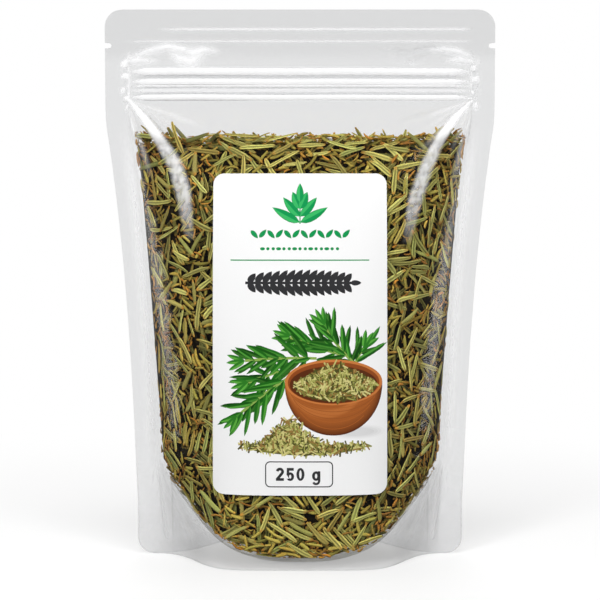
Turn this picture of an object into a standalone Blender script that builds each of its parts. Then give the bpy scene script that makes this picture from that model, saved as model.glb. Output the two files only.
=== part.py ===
"""Resealable clear stand-up pouch filled with dried rosemary leaves.

The pouch stands on the floor at z = 0 with its front panel facing -Y. Two film panels are sealed to
each other along both sides and the top, a folded bottom film lets them spread into a boat-shaped base,
and a two-track press-to-close strip runs across just below the top seal. All sizes are in metres.
"""

import math

import bpy
import bmesh
from mathutils import Vector

# Driving dimensions of the pouch
HEIGHT = 0.2535
FLAT_HALF_CHORD = 0.0793
SIDE_SEAL = 0.0107
CORNER_RADIUS = 0.0080
TOP_SEAL_START = 0.2387
FILM = 0.0002
SEAM_HALF_GAP = 0.00015
GAP = 0.0003
FRONT, BACK = -1, 1

# Depth of the filled front and back panels, as (height, depth) pairs read through a smooth curve
BELLY = (
    (0.0000, 0.0368),
    (0.0180, 0.0370),
    (0.0450, 0.0360),
    (0.0850, 0.0340),
    (0.1300, 0.0298),
    (0.1650, 0.0236),
    (0.1900, 0.0150),
    (0.2117, 0.0012),
    (0.2274, 0.0012),
    (TOP_SEAL_START, 0.0),
    (HEIGHT, 0.0),
)
# How square the panel's cross-section is, as (height, exponent) pairs: 2 is a lens, 40 is a flat box
SQUARENESS = ((0.0, 3.2), (0.13, 3.4), (0.19, 5.0), (0.2117, 40.0), (HEIGHT, 40.0))
# The standing edge swings in from the belly to the side seal: middle of the swing, and its half length
EDGE_SWING = {FRONT: (0.0475, 0.0105), BACK: (0.0430, 0.0125)}
EDGE_BLEND_HEIGHT = 0.050

# Bottom film: the seal line rises from the middle to the side seals
U_MIDDLE = 0.0040
U_END = 0.0456
U_HALF_SPAN = 0.0657
U_EXPONENT = 2.65
FLOOR_SAG = 0.0024

# Press-to-close strips
ZIP_LOW, ZIP_HIGH = 0.2121, 0.2270
ZIP_TRACKS = (0.2155, 0.2232)
ZIP_BASE = 0.0003
ZIP_DROP = 0.00105
ZIP_HALF_LENGTH = 0.0720

# Paper label on the front panel
LABEL_HALF_WIDTH = 0.0387
LABEL_LOW, LABEL_HIGH = 0.0341, 0.1777
LABEL_RADIUS = 0.0048
LABEL_PAPER = 0.00015

# Contents
FILL_TOP = 0.1928
FILL_WAVE = 0.0009
FILL_CLEARANCE = 0.0008
LEAF_COUNT = 24
LEAF_HALF_WIDTH = 0.00095
LEAF_HALF_THICKNESS = 0.00050
LEAF_SPREAD = 0.0630

# Mesh resolution
PANEL_COLUMNS = 12
EDGE_COLUMN = 0.965
SLOPE_STEP = 0.0004


def clear_scene():
    """Remove every object, so that the model is all there is."""
    for old in list(bpy.data.objects):
        bpy.data.objects.remove(old, do_unlink=True)


def material(name, color, roughness, alpha=1.0):
    """A Principled material for one kind of piece."""
    made = bpy.data.materials.new(name)
    made.use_nodes = True
    shader = made.node_tree.nodes["Principled BSDF"]
    shader.inputs["Base Color"].default_value = (*color, 1.0)
    shader.inputs["Roughness"].default_value = roughness
    shader.inputs["Metallic"].default_value = 0.0
    shader.inputs["Alpha"].default_value = alpha
    return made


def through(points, at):
    """Value at a position on a smooth curve that never overshoots its (position, value) pairs."""
    if at <= points[0][0]:
        return points[0][1]
    if at >= points[-1][0]:
        return points[-1][1]
    slopes = [(b[1] - a[1]) / (b[0] - a[0]) for a, b in zip(points, points[1:])]
    tangents = [slopes[0]]
    for before, after in zip(slopes, slopes[1:]):
        same_way = before * after > 0
        tangents.append(2 * before * after / (before + after) if same_way else 0.0)
    tangents.append(slopes[-1])
    span = next(i for i in range(len(slopes)) if at <= points[i + 1][0])
    (low, value_low), (high, value_high) = points[span], points[span + 1]
    width = high - low
    t = (at - low) / width
    return (
        value_low * (1 + 2 * t) * (1 - t) ** 2
        + tangents[span] * width * t * (1 - t) ** 2
        + value_high * t * t * (3 - 2 * t)
        + tangents[span + 1] * width * t * t * (t - 1)
    )


def smooth_step(t):
    """Ease from 0 to 1 as t goes from 0 to 1."""
    t = min(1.0, max(0.0, t))
    return t * t * (3 - 2 * t)


def half_chord(z):
    """Half of the width between the side seals: it shrinks where the panels bulge."""
    bulge = through(BELLY, z)
    return (FLAT_HALF_CHORD + math.sqrt(FLAT_HALF_CHORD**2 - 8 / 3 * bulge**2)) / 2


def half_width(z):
    """Half of the outer width, with the rounded corners at the top and the bottom."""
    corner = max(CORNER_RADIUS - z, z - (HEIGHT - CORNER_RADIUS), 0.0)
    rounding = CORNER_RADIUS - math.sqrt(max(0.0, CORNER_RADIUS**2 - corner**2))
    return half_chord(z) + SIDE_SEAL - rounding


def wall_depth(side, x, z):
    """Distance from the seam plane to a panel's inner face."""
    across = min(1.0, abs(x) / half_chord(z))
    belly = 1 - across ** through(SQUARENESS, z)
    middle, reach = EDGE_SWING[side]
    swing = 0.5 * (1 + math.tanh((middle - abs(x)) / reach)) * (1 - across**12)
    share = smooth_step(z / EDGE_BLEND_HEIGHT)
    return SEAM_HALF_GAP + through(BELLY, z) * ((1 - share) * swing + share * belly)


def wall_point(side, x, z, outward):
    """Point at a distance outward from a panel's inner face, measured square to the film."""
    step = SLOPE_STEP
    slope_x = (wall_depth(side, x + step, z) - wall_depth(side, x - step, z)) / (2 * step)
    slope_z = (wall_depth(side, x, z + step) - wall_depth(side, x, max(0.0, z - step))) / (2 * step)
    normal = Vector((-slope_x, side, 0.0 if z == 0.0 else -slope_z)).normalized()
    return Vector((x, side * wall_depth(side, x, z), z)) + normal * outward


def new_object(name, mesh_data, look):
    """Put a finished bmesh into the scene as a named object."""
    bmesh.ops.recalc_face_normals(mesh_data, faces=mesh_data.faces)
    if mesh_data.calc_volume(signed=True) < 0:
        bmesh.ops.reverse_faces(mesh_data, faces=mesh_data.faces)
    mesh = bpy.data.meshes.new(name)
    mesh_data.to_mesh(mesh)
    mesh_data.free()
    mesh.materials.append(look)
    mesh.shade_smooth()
    mesh.set_sharp_from_angle(angle=math.radians(40))
    made = bpy.data.objects.new(name, mesh)
    bpy.context.scene.collection.objects.link(made)
    return made


def thin_sheet(name, inner, outer, look):
    """Closed sheet between two grids of points with the same rows and columns.

    Both skins split their quads along the same diagonal, so they stay parallel where the sheet twists.
    """
    data = bmesh.new()
    skins = [[[data.verts.new(p) for p in row] for row in grid] for grid in (inner, outer)]
    rows, columns = len(inner), len(inner[0])
    for skin in skins:
        for r in range(rows - 1):
            for c in range(columns - 1):
                data.faces.new((skin[r][c], skin[r][c + 1], skin[r + 1][c + 1]))
                data.faces.new((skin[r][c], skin[r + 1][c + 1], skin[r + 1][c]))
    rim = [(0, c) for c in range(columns)]
    rim += [(r, columns - 1) for r in range(1, rows)]
    rim += [(rows - 1, c) for c in range(columns - 2, -1, -1)]
    rim += [(r, 0) for r in range(rows - 2, 0, -1)]
    low, high = skins
    for (r0, c0), (r1, c1) in zip(rim, rim[1:] + rim[:1]):
        data.faces.new((low[r0][c0], low[r1][c1], high[r1][c1], high[r0][c0]))
    return new_object(name, data, look)


def corner_heights(count):
    """Heights that step evenly round a quarter-circle corner, from 0 up to the corner radius."""
    return [CORNER_RADIUS * (1 - math.cos(math.pi / 2 * i / count)) for i in range(count + 1)]


def panel_heights():
    """Rows of a film panel, closer together where the film turns most."""
    low = corner_heights(3)
    body = [0.014, 0.021, 0.028, 0.035, 0.042, 0.050, 0.061, 0.075, 0.092, 0.110, 0.128, 0.146, 0.160, 0.172]
    shoulder = [0.181, 0.187, FILL_TOP, 0.1985, 0.205, 0.2117, 0.2274, TOP_SEAL_START]
    high = [HEIGHT - z for z in reversed(corner_heights(3))]
    return low + body + shoulder + high


def chord_columns(last):
    """Columns between the side seals as parts of the half chord, left to right."""
    right = [i / PANEL_COLUMNS for i in range(1, PANEL_COLUMNS)] + [EDGE_COLUMN, 1.0]
    right = [c for c in right if c <= last]
    return [-c for c in reversed(right)] + [0.0] + right


def film_panel(name, side, look):
    """Front or back film: flat in the seals and bulged between them."""
    grids = []
    for outward in (0.0, FILM):
        grid = []
        for z in panel_heights():
            places = [c * half_chord(z) for c in chord_columns(1.0)]
            places = [-half_width(z)] + places + [half_width(z)]
            grid.append([wall_point(side, x, z, outward) for x in places])
        grids.append(grid)
    return thin_sheet(name, grids[0], grids[1], look)


def cut_tear_notches(panels):
    """Cut a round-ended tear notch into each side edge, level with the top seal."""
    height, depth, radius, reach = 0.2370, 0.0030, 0.0011, 0.0040
    data = bmesh.new()
    for side in (-1, 1):
        edge = side * (FLAT_HALF_CHORD + SIDE_SEAL)
        bend = [math.pi / 2 + math.pi * i / 6 for i in range(7)]
        tip = edge - side * (depth - radius)
        outline = [(tip + side * radius * math.cos(a), height + radius * math.sin(a)) for a in bend]
        outline += [(edge + side * reach, height - radius), (edge + side * reach, height + radius)]
        near = [data.verts.new((x, -0.005, z)) for x, z in outline]
        far = [data.verts.new((x, 0.005, z)) for x, z in outline]
        data.faces.new(near)
        data.faces.new(list(reversed(far)))
        for i in range(len(near)):
            after = (i + 1) % len(near)
            data.faces.new((near[i], far[i], far[after], near[after]))
    cutter = new_object("notch_cutter", data, panels[0].data.materials[0])
    cutter.hide_render = True
    cutter.display_type = "WIRE"
    for panel in panels:
        cut = panel.modifiers.new("tear_notches", "BOOLEAN")
        cut.operation = "DIFFERENCE"
        cut.solver = "EXACT"
        cut.object = cutter


def seal_height(x):
    """Height at which the bottom film leaves the panels, above the place x."""
    return U_MIDDLE + (U_END - U_MIDDLE) * (abs(x) / U_HALF_SPAN) ** U_EXPONENT


def floor_height(x, t):
    """Height of the bottom film on its way from the front seal line, t = 0, to the back one, t = 1."""
    return seal_height(x) - FLOOR_SAG * 4 * t * (1 - t)


def gusset(look):
    """Bottom film: two skirts that line the panels, and a sagging floor between them."""
    skirt_rows, floor_rows = 5, 8
    grids = []
    for layer in (-GAP - FILM, -GAP):
        columns = []
        for part in chord_columns((PANEL_COLUMNS - 1) / PANEL_COLUMNS):
            x = part * half_chord(U_MIDDLE)
            top = seal_height(x)
            climb = [top * i / skirt_rows for i in range(skirt_rows + 1)]
            front = [wall_point(FRONT, x, z, layer) for z in climb]
            back = [wall_point(BACK, x, z, layer) for z in reversed(climb)]
            slope = (seal_height(x + SLOPE_STEP) - seal_height(x - SLOPE_STEP)) / (2 * SLOPE_STEP)
            drop = (layer + GAP) * math.hypot(1, slope)
            front[-1].z = back[0].z = top + drop
            floor = []
            for i in range(1, floor_rows):
                t = i / floor_rows
                spot = front[-1].lerp(back[0], t)
                floor.append(Vector((spot.x, spot.y, floor_height(x, t) + drop)))
            columns.append(front + floor + back)
        grids.append(columns)
    return thin_sheet("bottom_gusset", grids[0], grids[1], look)


def extruded_strip(name, outline, look):
    """Straight plastic strip along X with a (y, z) outline."""
    data = bmesh.new()
    ends = []
    for x in (-ZIP_HALF_LENGTH, ZIP_HALF_LENGTH):
        ends.append([data.verts.new((x, y, z)) for y, z in outline])
        data.faces.new(ends[-1])
    for i in range(len(outline)):
        after = (i + 1) % len(outline)
        data.faces.new((ends[0][i], ends[1][i], ends[1][after], ends[0][after]))
    return new_object(name, data, look)


def zip_groove_strip(look):
    """Strip on the front panel, with a pair of hooked walls for each track."""
    hook = ((1.40, 0.0), (1.40, 1.2), (0.55, 1.2), (0.55, 0.9), (1.05, 0.9), (1.05, 0.0))
    outline = [(-ZIP_DROP, ZIP_HIGH), (-ZIP_DROP, ZIP_LOW), (-ZIP_DROP + ZIP_BASE, ZIP_LOW)]
    for track in ZIP_TRACKS:
        lower = [(-rise, reach) for rise, reach in hook]
        upper = [(rise, reach) for rise, reach in reversed(hook)]
        for rise, reach in lower + upper:
            outline.append((-ZIP_DROP + ZIP_BASE + reach / 1000, track + rise / 1000))
    outline.append((-ZIP_DROP + ZIP_BASE, ZIP_HIGH))
    return extruded_strip("zip_groove_strip", outline, look)


def zip_rib_strip(look):
    """Strip on the back panel, with an arrow-headed rib for each track."""
    rib = ((0.25, 0.0), (0.25, 0.9), (0.75, 0.9), (0.45, 1.2))
    outline = [(ZIP_DROP, ZIP_HIGH), (ZIP_DROP, ZIP_LOW), (ZIP_DROP - ZIP_BASE, ZIP_LOW)]
    for track in ZIP_TRACKS:
        lower = [(-rise, reach) for rise, reach in rib]
        upper = [(rise, reach) for rise, reach in reversed(rib)]
        for rise, reach in lower + upper:
            outline.append((ZIP_DROP - ZIP_BASE - reach / 1000, track + rise / 1000))
    outline.append((ZIP_DROP - ZIP_BASE, ZIP_HIGH))
    return extruded_strip("zip_rib_strip", outline, look)


def label(look):
    """Round-cornered paper label that follows the front film."""
    turn = [LABEL_RADIUS * (1 - math.cos(math.pi / 2 * i / 3)) for i in range(4)]
    middle = 12
    span = LABEL_HIGH - LABEL_LOW - 2 * LABEL_RADIUS
    rows = [LABEL_LOW + t for t in turn]
    rows += [LABEL_LOW + LABEL_RADIUS + span * i / middle for i in range(1, middle)]
    rows += [LABEL_HIGH - t for t in reversed(turn)]
    grids = []
    for outward in (FILM + GAP, FILM + GAP + LABEL_PAPER):
        grid = []
        for z in rows:
            corner = max(LABEL_LOW + LABEL_RADIUS - z, z - LABEL_HIGH + LABEL_RADIUS, 0.0)
            inset = LABEL_RADIUS - math.sqrt(max(0.0, LABEL_RADIUS**2 - corner**2))
            reach = LABEL_HALF_WIDTH - inset
            grid.append([wall_point(FRONT, reach * i / 7, z, outward) for i in range(-7, 8)])
        grids.append(grid)
    return thin_sheet("front_label", grids[0], grids[1], look)


def fill_top_height(x, y):
    """Gently uneven top of the loose contents."""
    return FILL_TOP + FILL_WAVE * math.sin(x * 130) * math.cos(y * 260 + x * 45)


def rosemary_fill(look):
    """Body of packed leaves: it fills the belly down to the bottom film."""
    side_rows, cross_rows = 16, 6
    data = bmesh.new()
    rings = []
    for part in chord_columns(EDGE_COLUMN):
        foot_x = part * half_chord(U_MIDDLE)
        foot = seal_height(foot_x) + 0.0004
        ring = []
        for side in (FRONT, BACK):
            climb = []
            for i in range(side_rows + 1):
                z = foot + (FILL_TOP - foot) * (i / side_rows) ** 1.4
                climb.append(wall_point(side, part * half_chord(z), z, -FILL_CLEARANCE))
            ring.append(climb if side == FRONT else climb[::-1])
        front, back = ring
        top = [front[-1].lerp(back[0], i / cross_rows) for i in range(1, cross_rows)]
        for spot in top:
            spot.z = fill_top_height(spot.x, spot.y)
        base = [back[-1].lerp(front[0], i / cross_rows) for i in range(1, cross_rows)]
        for i, spot in enumerate(base, start=1):
            spot.z = floor_height(foot_x, 1 - i / cross_rows) + 0.0006
        rings.append([data.verts.new(p) for p in front + top + back + base])
    around = len(rings[0])
    for left, right in zip(rings, rings[1:]):
        for i in range(around):
            after = (i + 1) % around
            data.faces.new((left[i], right[i], right[after], left[after]))
    for ring in (rings[0], rings[-1]):
        front, top = ring[: side_rows + 1], ring[side_rows + 1 : side_rows + cross_rows]
        back, base = ring[side_rows + cross_rows : 2 * side_rows + cross_rows + 1], ring[1 - cross_rows :]
        back = back[::-1]
        for i in range(side_rows):
            data.faces.new((front[i], front[i + 1], back[i + 1], back[i]))
        data.faces.new((front[-1], *top, back[-1]))
        data.faces.new((back[0], *base, front[0]))
    return new_object("rosemary_fill", data, look)


def rosemary_leaf(number, look):
    """One needle leaf with blunt tapered ends, lying crosswise on the heap."""
    layer, place = number % 2, number // 2
    length = 0.0118 + 0.0026 * math.sin(2.3 * number) ** 2
    bow = 0.0005 * math.cos(1.7 * number)
    data = bmesh.new()
    rings = []
    stations = (-0.84, -0.45, 0.0, 0.45, 0.84)
    for t in stations:
        swell = math.sqrt(1 - 0.62 * t * t)
        ring = []
        for i in range(6):
            angle = math.pi / 3 * i
            y = bow * (1 - t * t) + LEAF_HALF_WIDTH * swell * math.cos(angle)
            z = LEAF_HALF_THICKNESS * swell * math.sin(angle)
            ring.append(data.verts.new((t * length / 2, y, z)))
        rings.append(ring)
    for left, right in zip(rings, rings[1:]):
        for i in range(6):
            after = (i + 1) % 6
            data.faces.new((left[i], right[i], right[after], left[after]))
    for ring, end in ((rings[0], -0.5), (rings[-1], 0.5)):
        tip = data.verts.new((end * length, 0.0, 0.0))
        for i in range(6):
            data.faces.new((ring[i], ring[(i + 1) % 6], tip))
    leaf = new_object(f"rosemary_leaf_{number + 1:02d}", data, look)
    across = 2 * place / (LEAF_COUNT / 2 - 1) - 1
    rest = FILL_TOP + FILL_WAVE + GAP + LEAF_HALF_THICKNESS
    lift = layer * (2 * LEAF_HALF_THICKNESS + GAP)
    leaf.location = (across * LEAF_SPREAD, 0.0020 * math.sin(1.9 * number), rest + lift)
    lean = math.radians(56 + 9 * math.sin(3.1 * place))
    leaf.rotation_euler = (0.0, 0.0, lean if layer == 0 else -lean)
    return leaf


def main():
    """Build every piece of the filled pouch."""
    clear_scene()
    film = material("clear_film", (0.92, 0.93, 0.94), 0.06, alpha=0.25)
    zip_plastic = material("zip_plastic", (0.88, 0.89, 0.90), 0.25, alpha=0.6)
    paper = material("label_paper", (0.93, 0.93, 0.92), 0.45)
    herb = material("dried_herb", (0.25, 0.24, 0.09), 0.75)
    leaf_green = material("leaf_green", (0.33, 0.36, 0.14), 0.6)

    front = film_panel("front_film", FRONT, film)
    back = film_panel("back_film", BACK, film)
    cut_tear_notches((front, back))
    gusset(film)
    zip_groove_strip(zip_plastic)
    zip_rib_strip(zip_plastic)
    label(paper)
    rosemary_fill(herb)
    for number in range(LEAF_COUNT):
        rosemary_leaf(number, leaf_green)


main()
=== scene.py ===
"""Looks of the clear stand-up pouch of dried rosemary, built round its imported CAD.

The wall of the pouch is repeated from the part as a formula, so that film, label and leaves lie on it.
Lengths are in metres, and in millimetres in the tables and the functions of the creases and the print.
"""
import math

import bpy
import numpy as np
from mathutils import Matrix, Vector
from mathutils.geometry import delaunay_2d_cdt


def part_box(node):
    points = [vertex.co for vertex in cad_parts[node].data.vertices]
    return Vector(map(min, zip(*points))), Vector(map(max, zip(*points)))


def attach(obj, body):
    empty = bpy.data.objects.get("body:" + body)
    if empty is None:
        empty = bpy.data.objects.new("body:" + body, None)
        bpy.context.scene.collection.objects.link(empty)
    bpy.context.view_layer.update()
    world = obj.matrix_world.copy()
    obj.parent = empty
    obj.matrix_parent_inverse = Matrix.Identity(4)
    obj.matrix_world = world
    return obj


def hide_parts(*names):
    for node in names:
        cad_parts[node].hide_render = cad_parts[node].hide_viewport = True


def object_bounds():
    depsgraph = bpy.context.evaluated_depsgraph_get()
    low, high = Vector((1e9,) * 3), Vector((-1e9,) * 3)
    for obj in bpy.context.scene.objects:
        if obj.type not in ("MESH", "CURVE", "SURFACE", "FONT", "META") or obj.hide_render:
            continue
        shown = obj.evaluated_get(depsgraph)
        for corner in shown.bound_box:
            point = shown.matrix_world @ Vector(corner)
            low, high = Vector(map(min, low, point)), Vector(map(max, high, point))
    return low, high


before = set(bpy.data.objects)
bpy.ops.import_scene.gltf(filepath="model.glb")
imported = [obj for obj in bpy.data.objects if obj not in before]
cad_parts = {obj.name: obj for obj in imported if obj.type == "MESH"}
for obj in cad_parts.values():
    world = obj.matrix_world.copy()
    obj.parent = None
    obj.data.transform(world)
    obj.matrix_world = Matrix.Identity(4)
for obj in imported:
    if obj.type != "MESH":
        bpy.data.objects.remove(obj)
cad_low, cad_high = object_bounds()

# ---------------------------------------------------------------- sizes that the CAD gives
MM = 0.001
HEIGHT = cad_high.z
label_low, label_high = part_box("front_label")
LABEL_LOW, LABEL_HIGH = label_low.z, label_high.z
LABEL_HALF_WIDTH = label_high.x
LEAF_NODES = sorted(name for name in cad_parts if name.startswith("rosemary_leaf"))

# ---------------------------------------------------------------- wall of the pouch, as in the part
FLAT_HALF_CHORD = 0.0793
SIDE_SEAL = 0.0107
CORNER_RADIUS = 0.0080
TOP_SEAL_START = 0.2387
FILM = 0.0002
SEAM_HALF_GAP = 0.00015
GAP = 0.0003
FRONT, BACK = -1, 1
# Depth of a panel's middle, and how square its section is, as (height, value)
BELLY = (
    (0.0000, 0.0368), (0.0180, 0.0370), (0.0450, 0.0360), (0.0850, 0.0340),
    (0.1300, 0.0298), (0.1650, 0.0236), (0.1900, 0.0150), (0.2117, 0.0012),
    (0.2274, 0.0012), (TOP_SEAL_START, 0.0), (HEIGHT, 0.0),
)
SQUARENESS = ((0.0, 3.2), (0.13, 3.4), (0.19, 5.0), (0.2117, 40.0), (HEIGHT, 40.0))
# Where the standing edge swings in to the side seal, and over what distance
EDGE_SWING = {FRONT: (0.0475, 0.0105), BACK: (0.0430, 0.0125)}
EDGE_BLEND_HEIGHT = 0.050
U_MIDDLE, U_END, U_HALF_SPAN, U_EXPONENT = 0.0040, 0.0456, 0.0657, 2.65
FLOOR_SAG = 0.0024
LABEL_RADIUS = 0.0048
LABEL_PAPER = 0.00015
FILL_TOP = 0.1928
NOTCH_HEIGHT, NOTCH_DEPTH, NOTCH_RADIUS = 0.2370, 0.0030, 0.0011


def through(points, at):
    """Values on a smooth curve that never overshoots its (position, value) pairs."""
    places = np.array([p[0] for p in points])
    values = np.array([p[1] for p in points])
    slopes = np.diff(values) / np.diff(places)
    before, after = slopes[:-1], slopes[1:]
    same_way = before * after > 0
    mean = 2 * before * after / np.where(same_way, before + after, 1.0)
    tangents = np.concatenate(([slopes[0]], np.where(same_way, mean, 0.0), [slopes[-1]]))
    at = np.clip(np.asarray(at, dtype=float), places[0], places[-1])
    span = np.clip(np.searchsorted(places, at) - 1, 0, len(slopes) - 1)
    width = places[span + 1] - places[span]
    t = (at - places[span]) / width
    return (
        values[span] * (1 + 2 * t) * (1 - t) ** 2
        + tangents[span] * width * t * (1 - t) ** 2
        + values[span + 1] * t * t * (3 - 2 * t)
        + tangents[span + 1] * width * t * t * (t - 1)
    )


def ramp(low, high, at):
    """Ease from 0 at low to 1 at high."""
    t = np.clip((np.asarray(at, dtype=float) - low) / (high - low), 0.0, 1.0)
    return t * t * (3 - 2 * t)


def window(at, low, low_full, high_full, high):
    """Ease from 0 at low to 1, and back to 0 at high."""
    return ramp(low, low_full, at) * (1 - ramp(high_full, high, at))


def bell(away, reach):
    """Bell curve: 1 at no distance, fading over the reach."""
    return np.exp(-((away / reach) ** 2))


def half_chord(z):
    """Half of the width between the side seals."""
    bulge = through(BELLY, z)
    return (FLAT_HALF_CHORD + np.sqrt(FLAT_HALF_CHORD**2 - 8 / 3 * bulge**2)) / 2


def half_width(z):
    """Half of the outer width, with the rounded corners."""
    corner = np.maximum(np.maximum(CORNER_RADIUS - z, z - (HEIGHT - CORNER_RADIUS)), 0.0)
    rounding = CORNER_RADIUS - np.sqrt(np.maximum(0.0, CORNER_RADIUS**2 - corner**2))
    return half_chord(z) + SIDE_SEAL - rounding


def wall_depth(side, x, z):
    """Distance from the seam plane to a panel's inner face."""
    across = np.minimum(1.0, np.abs(x) / half_chord(z))
    belly = 1 - across ** through(SQUARENESS, z)
    middle, reach = EDGE_SWING[side]
    swing = 0.5 * (1 + np.tanh((middle - np.abs(x)) / reach)) * (1 - across**12)
    share = ramp(0.0, EDGE_BLEND_HEIGHT, z)
    return SEAM_HALF_GAP + through(BELLY, z) * ((1 - share) * swing + share * belly)


def wall(side, x, z):
    """Points on a panel's inner face, and the directions straight out of it."""
    step = 0.0004
    x, z = np.broadcast_arrays(np.asarray(x, dtype=float), np.asarray(z, dtype=float))
    slope_x = (wall_depth(side, x + step, z) - wall_depth(side, x - step, z)) / (2 * step)
    under = np.maximum(0.0, z - step)
    slope_z = (wall_depth(side, x, z + step) - wall_depth(side, x, under)) / (2 * step)
    normal = np.stack((-slope_x, np.full_like(x, side), np.where(z == 0.0, 0.0, -slope_z)), axis=-1)
    normal /= np.linalg.norm(normal, axis=-1, keepdims=True)
    point = np.stack((x, side * wall_depth(side, x, z), z), axis=-1)
    return point, normal


def seal_height(x):
    """Height at which the bottom film leaves the panels."""
    return U_MIDDLE + (U_END - U_MIDDLE) * (np.abs(x) / U_HALF_SPAN) ** U_EXPONENT


def floor_height(x, t):
    """Height of the bottom film, from the front seal line, t = 0, to the back one, t = 1."""
    return seal_height(x) - FLOOR_SAG * 4 * t * (1 - t)


def field(x, z, scale, seed, waves=20):
    """Smooth random field of about unit size, with lumps about as wide as the scale."""
    draw = np.random.default_rng(seed)
    angle = draw.uniform(0, math.tau, waves)
    pitch = math.tau / scale * draw.uniform(0.35, 1.0, waves)
    phase = draw.uniform(0, math.tau, waves)
    total = 0.0
    for a, k, p in zip(angle, pitch, phase):
        total = total + np.cos(k * (x * math.cos(a) + z * math.sin(a)) + p)
    return total * math.sqrt(2 / waves)


# ---------------------------------------------------------------- materials
def node_adder(owner):
    """Empty the node tree of a material or a world; return a function that adds nodes to it."""
    owner.use_nodes = True
    tree = owner.node_tree
    tree.nodes.clear()

    def add(kind, inputs=None, **settings):
        node = tree.nodes.new(f"ShaderNode{kind}")
        for key, value in settings.items():
            setattr(node, key, value)
        for key, value in (inputs or {}).items():
            if isinstance(value, bpy.types.NodeSocket):
                tree.links.new(value, node.inputs[key])
            else:
                node.inputs[key].default_value = value
        return node

    return add


def new_material(name):
    """New material, the function that adds its nodes, and the object's own coordinates."""
    made = bpy.data.materials.new(name)
    add = node_adder(made)
    return made, add, add("TexCoord").outputs["Object"]


def noise(add, place, scale, detail=2.0, roughness=0.5):
    """Noise texture from 0 to 1."""
    inputs = {"Vector": place, "Scale": scale, "Detail": detail, "Roughness": roughness}
    return add("TexNoise", inputs).outputs["Fac"]


def ranged(add, value, low, high, new_low=0.0, new_high=1.0, **settings):
    """Value carried over from one range to another."""
    inputs = {"Value": value, "From Min": low, "From Max": high, "To Min": new_low, "To Max": new_high}
    return add("MapRange", inputs, **settings).outputs["Result"]


def calculated(add, operation, *values):
    """Result of one Math node, kept between 0 and 1."""
    return add("Math", dict(enumerate(values)), operation=operation, use_clamp=True).outputs[0]


def bumped(add, height, strength, distance, under=None):
    """Normal from a height, on top of another normal if there is one."""
    inputs = {"Height": height, "Strength": strength, "Distance": distance}
    if under is not None:
        inputs["Normal"] = under
    return add("Bump", inputs).outputs["Normal"]


def blend(add, share, first, second):
    """Colour between two colours."""
    inputs = {"Factor": share, "A": (*first, 1.0), "B": (*second, 1.0)}
    return add("Mix", inputs, data_type="RGBA").outputs["Result"]


def scaled(add, color, light):
    """Colour times a brightness."""
    return add("VectorMath", {0: color, 3: light}, operation="SCALE").outputs["Vector"]


def attribute(add, name, output="Fac"):
    """Value that the mesh carries."""
    return add("Attribute", attribute_name=name).outputs[output]


def principled(add, color, rough, normal, specular=0.5):
    """Plain body of a surface."""
    inputs = {"Base Color": color, "Roughness": rough, "Specular IOR Level": specular, "Normal": normal}
    return add("BsdfPrincipled", inputs)


def mixed(add, share, first, second):
    """Shader between two shaders."""
    return add("MixShader", {0: share, 1: first.outputs[0], 2: second.outputs[0]})


def film_material(name, thin, thick, mirror_least):
    """Clear glossy film: grey where it is doubled and sealed, and painted white where the mesh asks, mostly
    as painted highlights and sheen on creases and folds, partly as whitish closure bands.
    """
    made, add, place = new_material(name)
    normal = bumped(add, noise(add, place, 55.0), 0.2, 0.0012)
    normal = bumped(add, noise(add, place, 900.0), 0.02, 0.00015, normal)
    tint = blend(add, attribute(add, "dense_and_shade"), thin, thick)
    clear = add("BsdfTransparent", {"Color": tint})
    facing = add("LayerWeight", {"Blend": 0.5, "Normal": normal}).outputs["Facing"]
    mirror = calculated(add, "MULTIPLY_ADD", calculated(add, "POWER", facing, 5.0), 0.5, mirror_least)
    gloss = add("BsdfGlossy", {"Color": (1.0, 1.0, 1.0, 1.0), "Roughness": 0.18, "Normal": normal})
    sheet = mixed(add, mirror, clear, gloss)
    patchy = ranged(add, noise(add, place, 420.0, 4.0, 0.6), 0.35, 0.62, 0.96, 1.01)
    # Painted highlight: this white body stands in for lamps mirrored in the creases, folds and seal lines of
    # the film
    white = principled(add, (0.93, 0.93, 0.935, 1.0), 0.3, normal)
    both = mixed(add, calculated(add, "MULTIPLY", attribute(add, "milk_and_highlight"), patchy), sheet, white)
    add("OutputMaterial", {"Surface": both.outputs[0]})
    return made


def zip_material():
    """Nearly clear closure plastic with faint streaks drawn along the strip."""
    made, add, place = new_material("zip_plastic")
    drawn = add("Mapping", {"Vector": place, "Scale": (12.0, 300.0, 900.0)}).outputs[0]
    streak = noise(add, drawn, 1.0, 3.0)
    clear = add("BsdfTransparent", {"Color": (0.996, 0.996, 0.997, 1.0)})
    white = principled(add, (0.90, 0.905, 0.91, 1.0), 0.25, bumped(add, streak, 0.03, 0.0002))
    both = mixed(add, ranged(add, streak, 0.3, 0.7, 0.01, 0.016), clear, white)
    add("OutputMaterial", {"Surface": both.outputs[0]})
    return made


def leaf_material():
    """Dried leaf: vertex colours for groove, rims and tips, with fibres, specks and a dull sheen."""
    made, add, place = new_material("dried_leaf")
    along = add("UVMap", uv_map="fibre").outputs["UV"]
    fibre = noise(add, add("Mapping", {"Vector": along, "Scale": (3.0, 22.0, 1.0)}).outputs[0], 1.0, 3.0)
    speck = noise(add, place, 1900.0, 3.0)
    fibre_light = ranged(add, fibre, 0.3, 0.7, 0.72, 1.22)
    speck_light = ranged(add, speck, 0.35, 0.65, 0.86, 1.12)
    color = scaled(add, scaled(add, attribute(add, "tint", "Color"), fibre_light), speck_light)
    rough = ranged(add, speck, 0.3, 0.7, 0.45, 0.75)
    normal = bumped(add, speck, 0.25, 0.00008, bumped(add, fibre, 0.45, 0.00018))
    leaf = principled(add, color, rough, normal, 0.35)
    add("OutputMaterial", {"Surface": leaf.outputs[0]})
    return made


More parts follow.
